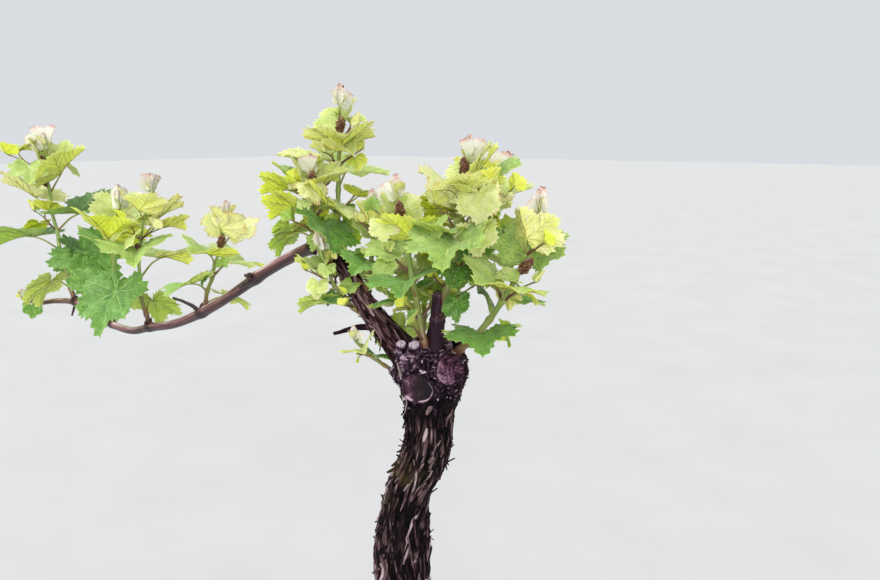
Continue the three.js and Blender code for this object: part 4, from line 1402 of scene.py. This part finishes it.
def has_room(leaf, low, high):
    """True if a leaf keeps within its shoot's space, off the wood and away from the head's cuts"""
    corners = BLADE_CORNERS.real * leaf["along"] + BLADE_CORNERS.imag * leaf["side"]
    points = leaf["at"] + leaf["size"] * corners
    if (points < low - PAST_BOX).any() or (points > high + PAST_BOX).any():
        return False
    if np.linalg.norm(points - BURR_CENTRE, axis=1).min() < BARE_ROUND_HEAD:
        return False
    return (np.linalg.norm(points[:, None] - WOOD_PLACES, axis=2) - WOOD_RADII).min() > OFF_WOOD


def add_twigs(blades, veins, stems, name, shoot, plan, chance):
    low, high = (np.array(corner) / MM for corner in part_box(name))
    for twig, age in twigs_of(shoot, plan, chance):
        grown = shoot_plan(twig)
        kept = [leaf for leaf in grown["leaves"] if has_room(leaf, low, high)]
        if not kept:
            continue
        add_stem(stems, grown, twig.girth, 2, 6, 4)
        following = numbers_from(twig.seed)
        oldest = GREEN if age > OLD_TWIG else LIGHT
        for leaf in kept:
            leaf["shade"] = following()
            add_leaf(blades, veins, leaf, oldest + (following() < 0.5))
            add_petiole(stems, leaf, 5, 4)


def add_tendril(stems, node, out, rise, seed):
    draw = np.random.default_rng(seed)
    length = draw.uniform(14, 30)
    side = unit(np.cross(out, rise))
    rows = [(*node, 0.7)]
    place, way = node, unit(rise - 0.5 * out)
    for k in range(7):
        place = place + way * length / 7
        way = unit(way + side * 0.16 * (k - 1) * draw.uniform(0.5, 1) - out * 0.05)
        rows.append((*place, 0.65 - 0.055 * k))
    stems.add_tube(rows, 2, 6, slot=2)


def add_scales(scales, foot, way, girth, seed):
    """The brown scales of a bud, round its foot"""
    draw = np.random.default_rng(seed)
    for k in range(16):
        out = spoke(way, k * 2.4 + draw.normal(0, 0.2))
        centre = foot + out * girth * draw.uniform(1.1, 1.6) + way * draw.uniform(2, 9)
        add_ball(scales, centre, draw.uniform(1.2, 2.5), way + 0.5 * out, 1.6)


# A bud on the cane that never opened: foot, way, girth and seed
DEAD_BUD = (np.array((-252.0, -3, 827)), unit((0, -0.8, 0.6)), 1.5, 5)
# More bunches of flower buds, by the node that carries each, on the sunny side of their shoot
SECOND_BUNCH = {
    "shoot_cane_4": 6, "shoot_cane_3": 3, "shoot_cane_2": 3, "shoot_cane_1": 4, "shoot_bend_2": 4,
    "shoot_bend_1": 5, "shoot_head_1": 5, "shoot_head_2": 5, "shoot_head_3": 4, "shoot_back_2": 4,
}
SUNNY = unit((0.75, -0.66, 0))


def grow_group(group, names):
    """The leaves, veins, stems, buds and scales of several shoots, each kind in one piece"""
    blades, veins, stems, buds, felts, scales = (Shape() for _ in range(6))
    for name in names:
        shoot = Shoot(*SHOOTS[name])
        plan = shoot_plan(shoot)
        following = numbers_from(shoot.seed + 1000)
        add_stem(stems, plan, shoot.girth, 0.12 * min(shoot.blade, LARGEST_TIP))
        for leaf in plan["leaves"]:
            youngest = leaf["age"] == 0
            tone = tone_of(name, leaf["age"], following())
            leaf["shade"] = following()
            leaf["rust"] = name in RUSTY and tone == LIGHT and leaf["age"] > 0.5
            if youngest:
                leaf.update(felted=True, close=math.radians(46), narrow=0.72)
            add_leaf(felts if youngest else blades, veins, leaf, tone)
            add_petiole(stems, leaf)
        for node, direction, length in plan["bunches"]:
            add_bunch(buds, stems, node, direction, length, shoot.seed)
        if name in SECOND_BUNCH:
            k = SECOND_BUNCH[name]
            node, _, rise, _ = plan["nodes"][k]
            add_bunch(buds, stems, node, unit(rise + 0.55 * SUNNY), 30, shoot.seed + k)
        for k, (node, out, rise, _) in enumerate(plan["nodes"]):
            add_ball(scales, node + out * 1.6 + rise * 2.2, 1.2, rise + 0.4 * out, 1.7)
            if k > 2 and k % 3:
                add_tendril(stems, node, out, rise, shoot.seed + k)
        foot, first, tip = plan["stem"][0], plan["stem"][1], plan["stem"][-1]
        add_tip(blades, veins, felts, stems, shoot, tip)
        add_twigs(blades, veins, stems, name, shoot, plan, TWIG_CHANCE[group])
        add_scales(scales, foot, unit(first - foot), shoot.girth, shoot.seed)
    blades.piece("leaves_" + group, LEAVES, "green_growth", names)
    veins.piece("veins_" + group, VEINS, "green_growth", sharp=0)
    stems.piece("stems_" + group, STEMS, "green_growth", sharp=70)
    felts.piece("tips_" + group, [FELT] * len(LEAVES), "green_growth")
    scales.piece("scales_" + group, [SCALES], "cane_bark", sharp=70)
    if buds.count:
        buds.piece("flowers_" + group, [BUDS], "green_growth", sharp=70)


# The whole plant

trunk = trunk_piece()
skin = tree_of(trunk)
shag, arm_shag, dead_bud, cuts, chips = (Shape() for _ in range(5))
add_trunk_strips(shag, skin, count=1000, seed=11)
shag.piece("trunk_strips", [STRIP_BARK], "old_bark")

old_line = Line(OLD_LINE)
arm_end, arch_end = ARM_END / old_line.spans, ARCH_END / old_line.spans
limb_piece(
    "arm", old_line, (0, arm_end), ARM_BARK, grain=(4, 26, 1.3), sides=84, step=1.3,
    swell=arm_knots, dark=arm_dark, top_light=0.12,
)
for name, span in (("cane_arch", (arm_end, arch_end)), ("cane_end", (arch_end, 1))):
    limb_piece(
        name, old_line, span, CANE_BARK, grain=(3, 120, 0.05), sides=40, step=1.6,
        swell=cane_swell, dark=cane_dark, top_light=0.42,
    )
for name, rows in SPURS.items():
    limb_piece(
        name, Line(rows), (0, 1), SPUR_BARK, grain=(3, 30, 0.16), sides=48, step=1.1,
        swell=spur_rings, dark=spur_dark,
    )
add_scales(dead_bud, *DEAD_BUD)
dead_bud.piece("dead_bud", [SCALES], "cane_bark", sharp=70)
add_limb_strips(arm_shag, old_line, 0.01, (ARM_END - 0.9) / old_line.spans, count=130, seed=5)
arm_shag.piece("arm_strips", [ARM_BARK], "old_bark")

for place, (name, stub) in enumerate(STUBS.items()):
    kind, slot = {"right": ("sound", 0), "left": ("rotten", 1)}.get(name, ("dry", 2))
    cut_face(cuts, *stub, kind, slot, place)
cuts.piece("cut_faces", CUT_FACES, "old_bark", sharp=0)
add_flakes(chips, skin, count=460, seed=21)
chips.piece("head_chips", [CHIP_BARK], "old_bark")

for group, names in GROUPS.items():
    grow_group(group, names)


# Floor and light


def make_floor():
    mesh = bpy.data.meshes.new("floor")
    mesh.from_pydata([(-30, -30, 0), (30, -30, 0), (30, 30, 0), (-30, 30, 0)], [], [(0, 1, 2, 3)])
    floor = new_object("floor", mesh)
    skin = Skin("floor_pale")
    place = skin.place()
    grey = skin.ramp(skin.noise(place, 3), [(0.3, (0.47, 0.47, 0.46, 1)), (0.7, (0.5, 0.5, 0.49, 1))])
    mesh.materials.append(skin.finish(grey, (0.85, 0.95), skin.noise(place, 200), 0.1))


def make_sun(name, way, power):
    """An even light that comes from way, with soft shadows"""
    data = bpy.data.lights.new(name, "SUN")
    data.energy = power
    data.angle = math.radians(40)
    light = new_object(name, data)
    light.location = way
    light.rotation_euler = Vector(way).to_track_quat("Z", "Y").to_euler()


def make_world():
    world = bpy.data.worlds.new("sky")
    scene.world = world
    world.use_nodes = True
    background = world.node_tree.nodes["Background"]
    background.inputs["Color"].default_value = (0.92, 0.95, 1, 1)
    background.inputs["Strength"].default_value = 0.76


make_floor()
make_world()
make_sun("light_high", (-1.2, -0.7, 2.6), 2.4)
make_sun("light_front", (1.8, -2.2, 0.9), 2)
scene.view_settings.view_transform = "Standard"

bpy.context.view_layer.update()
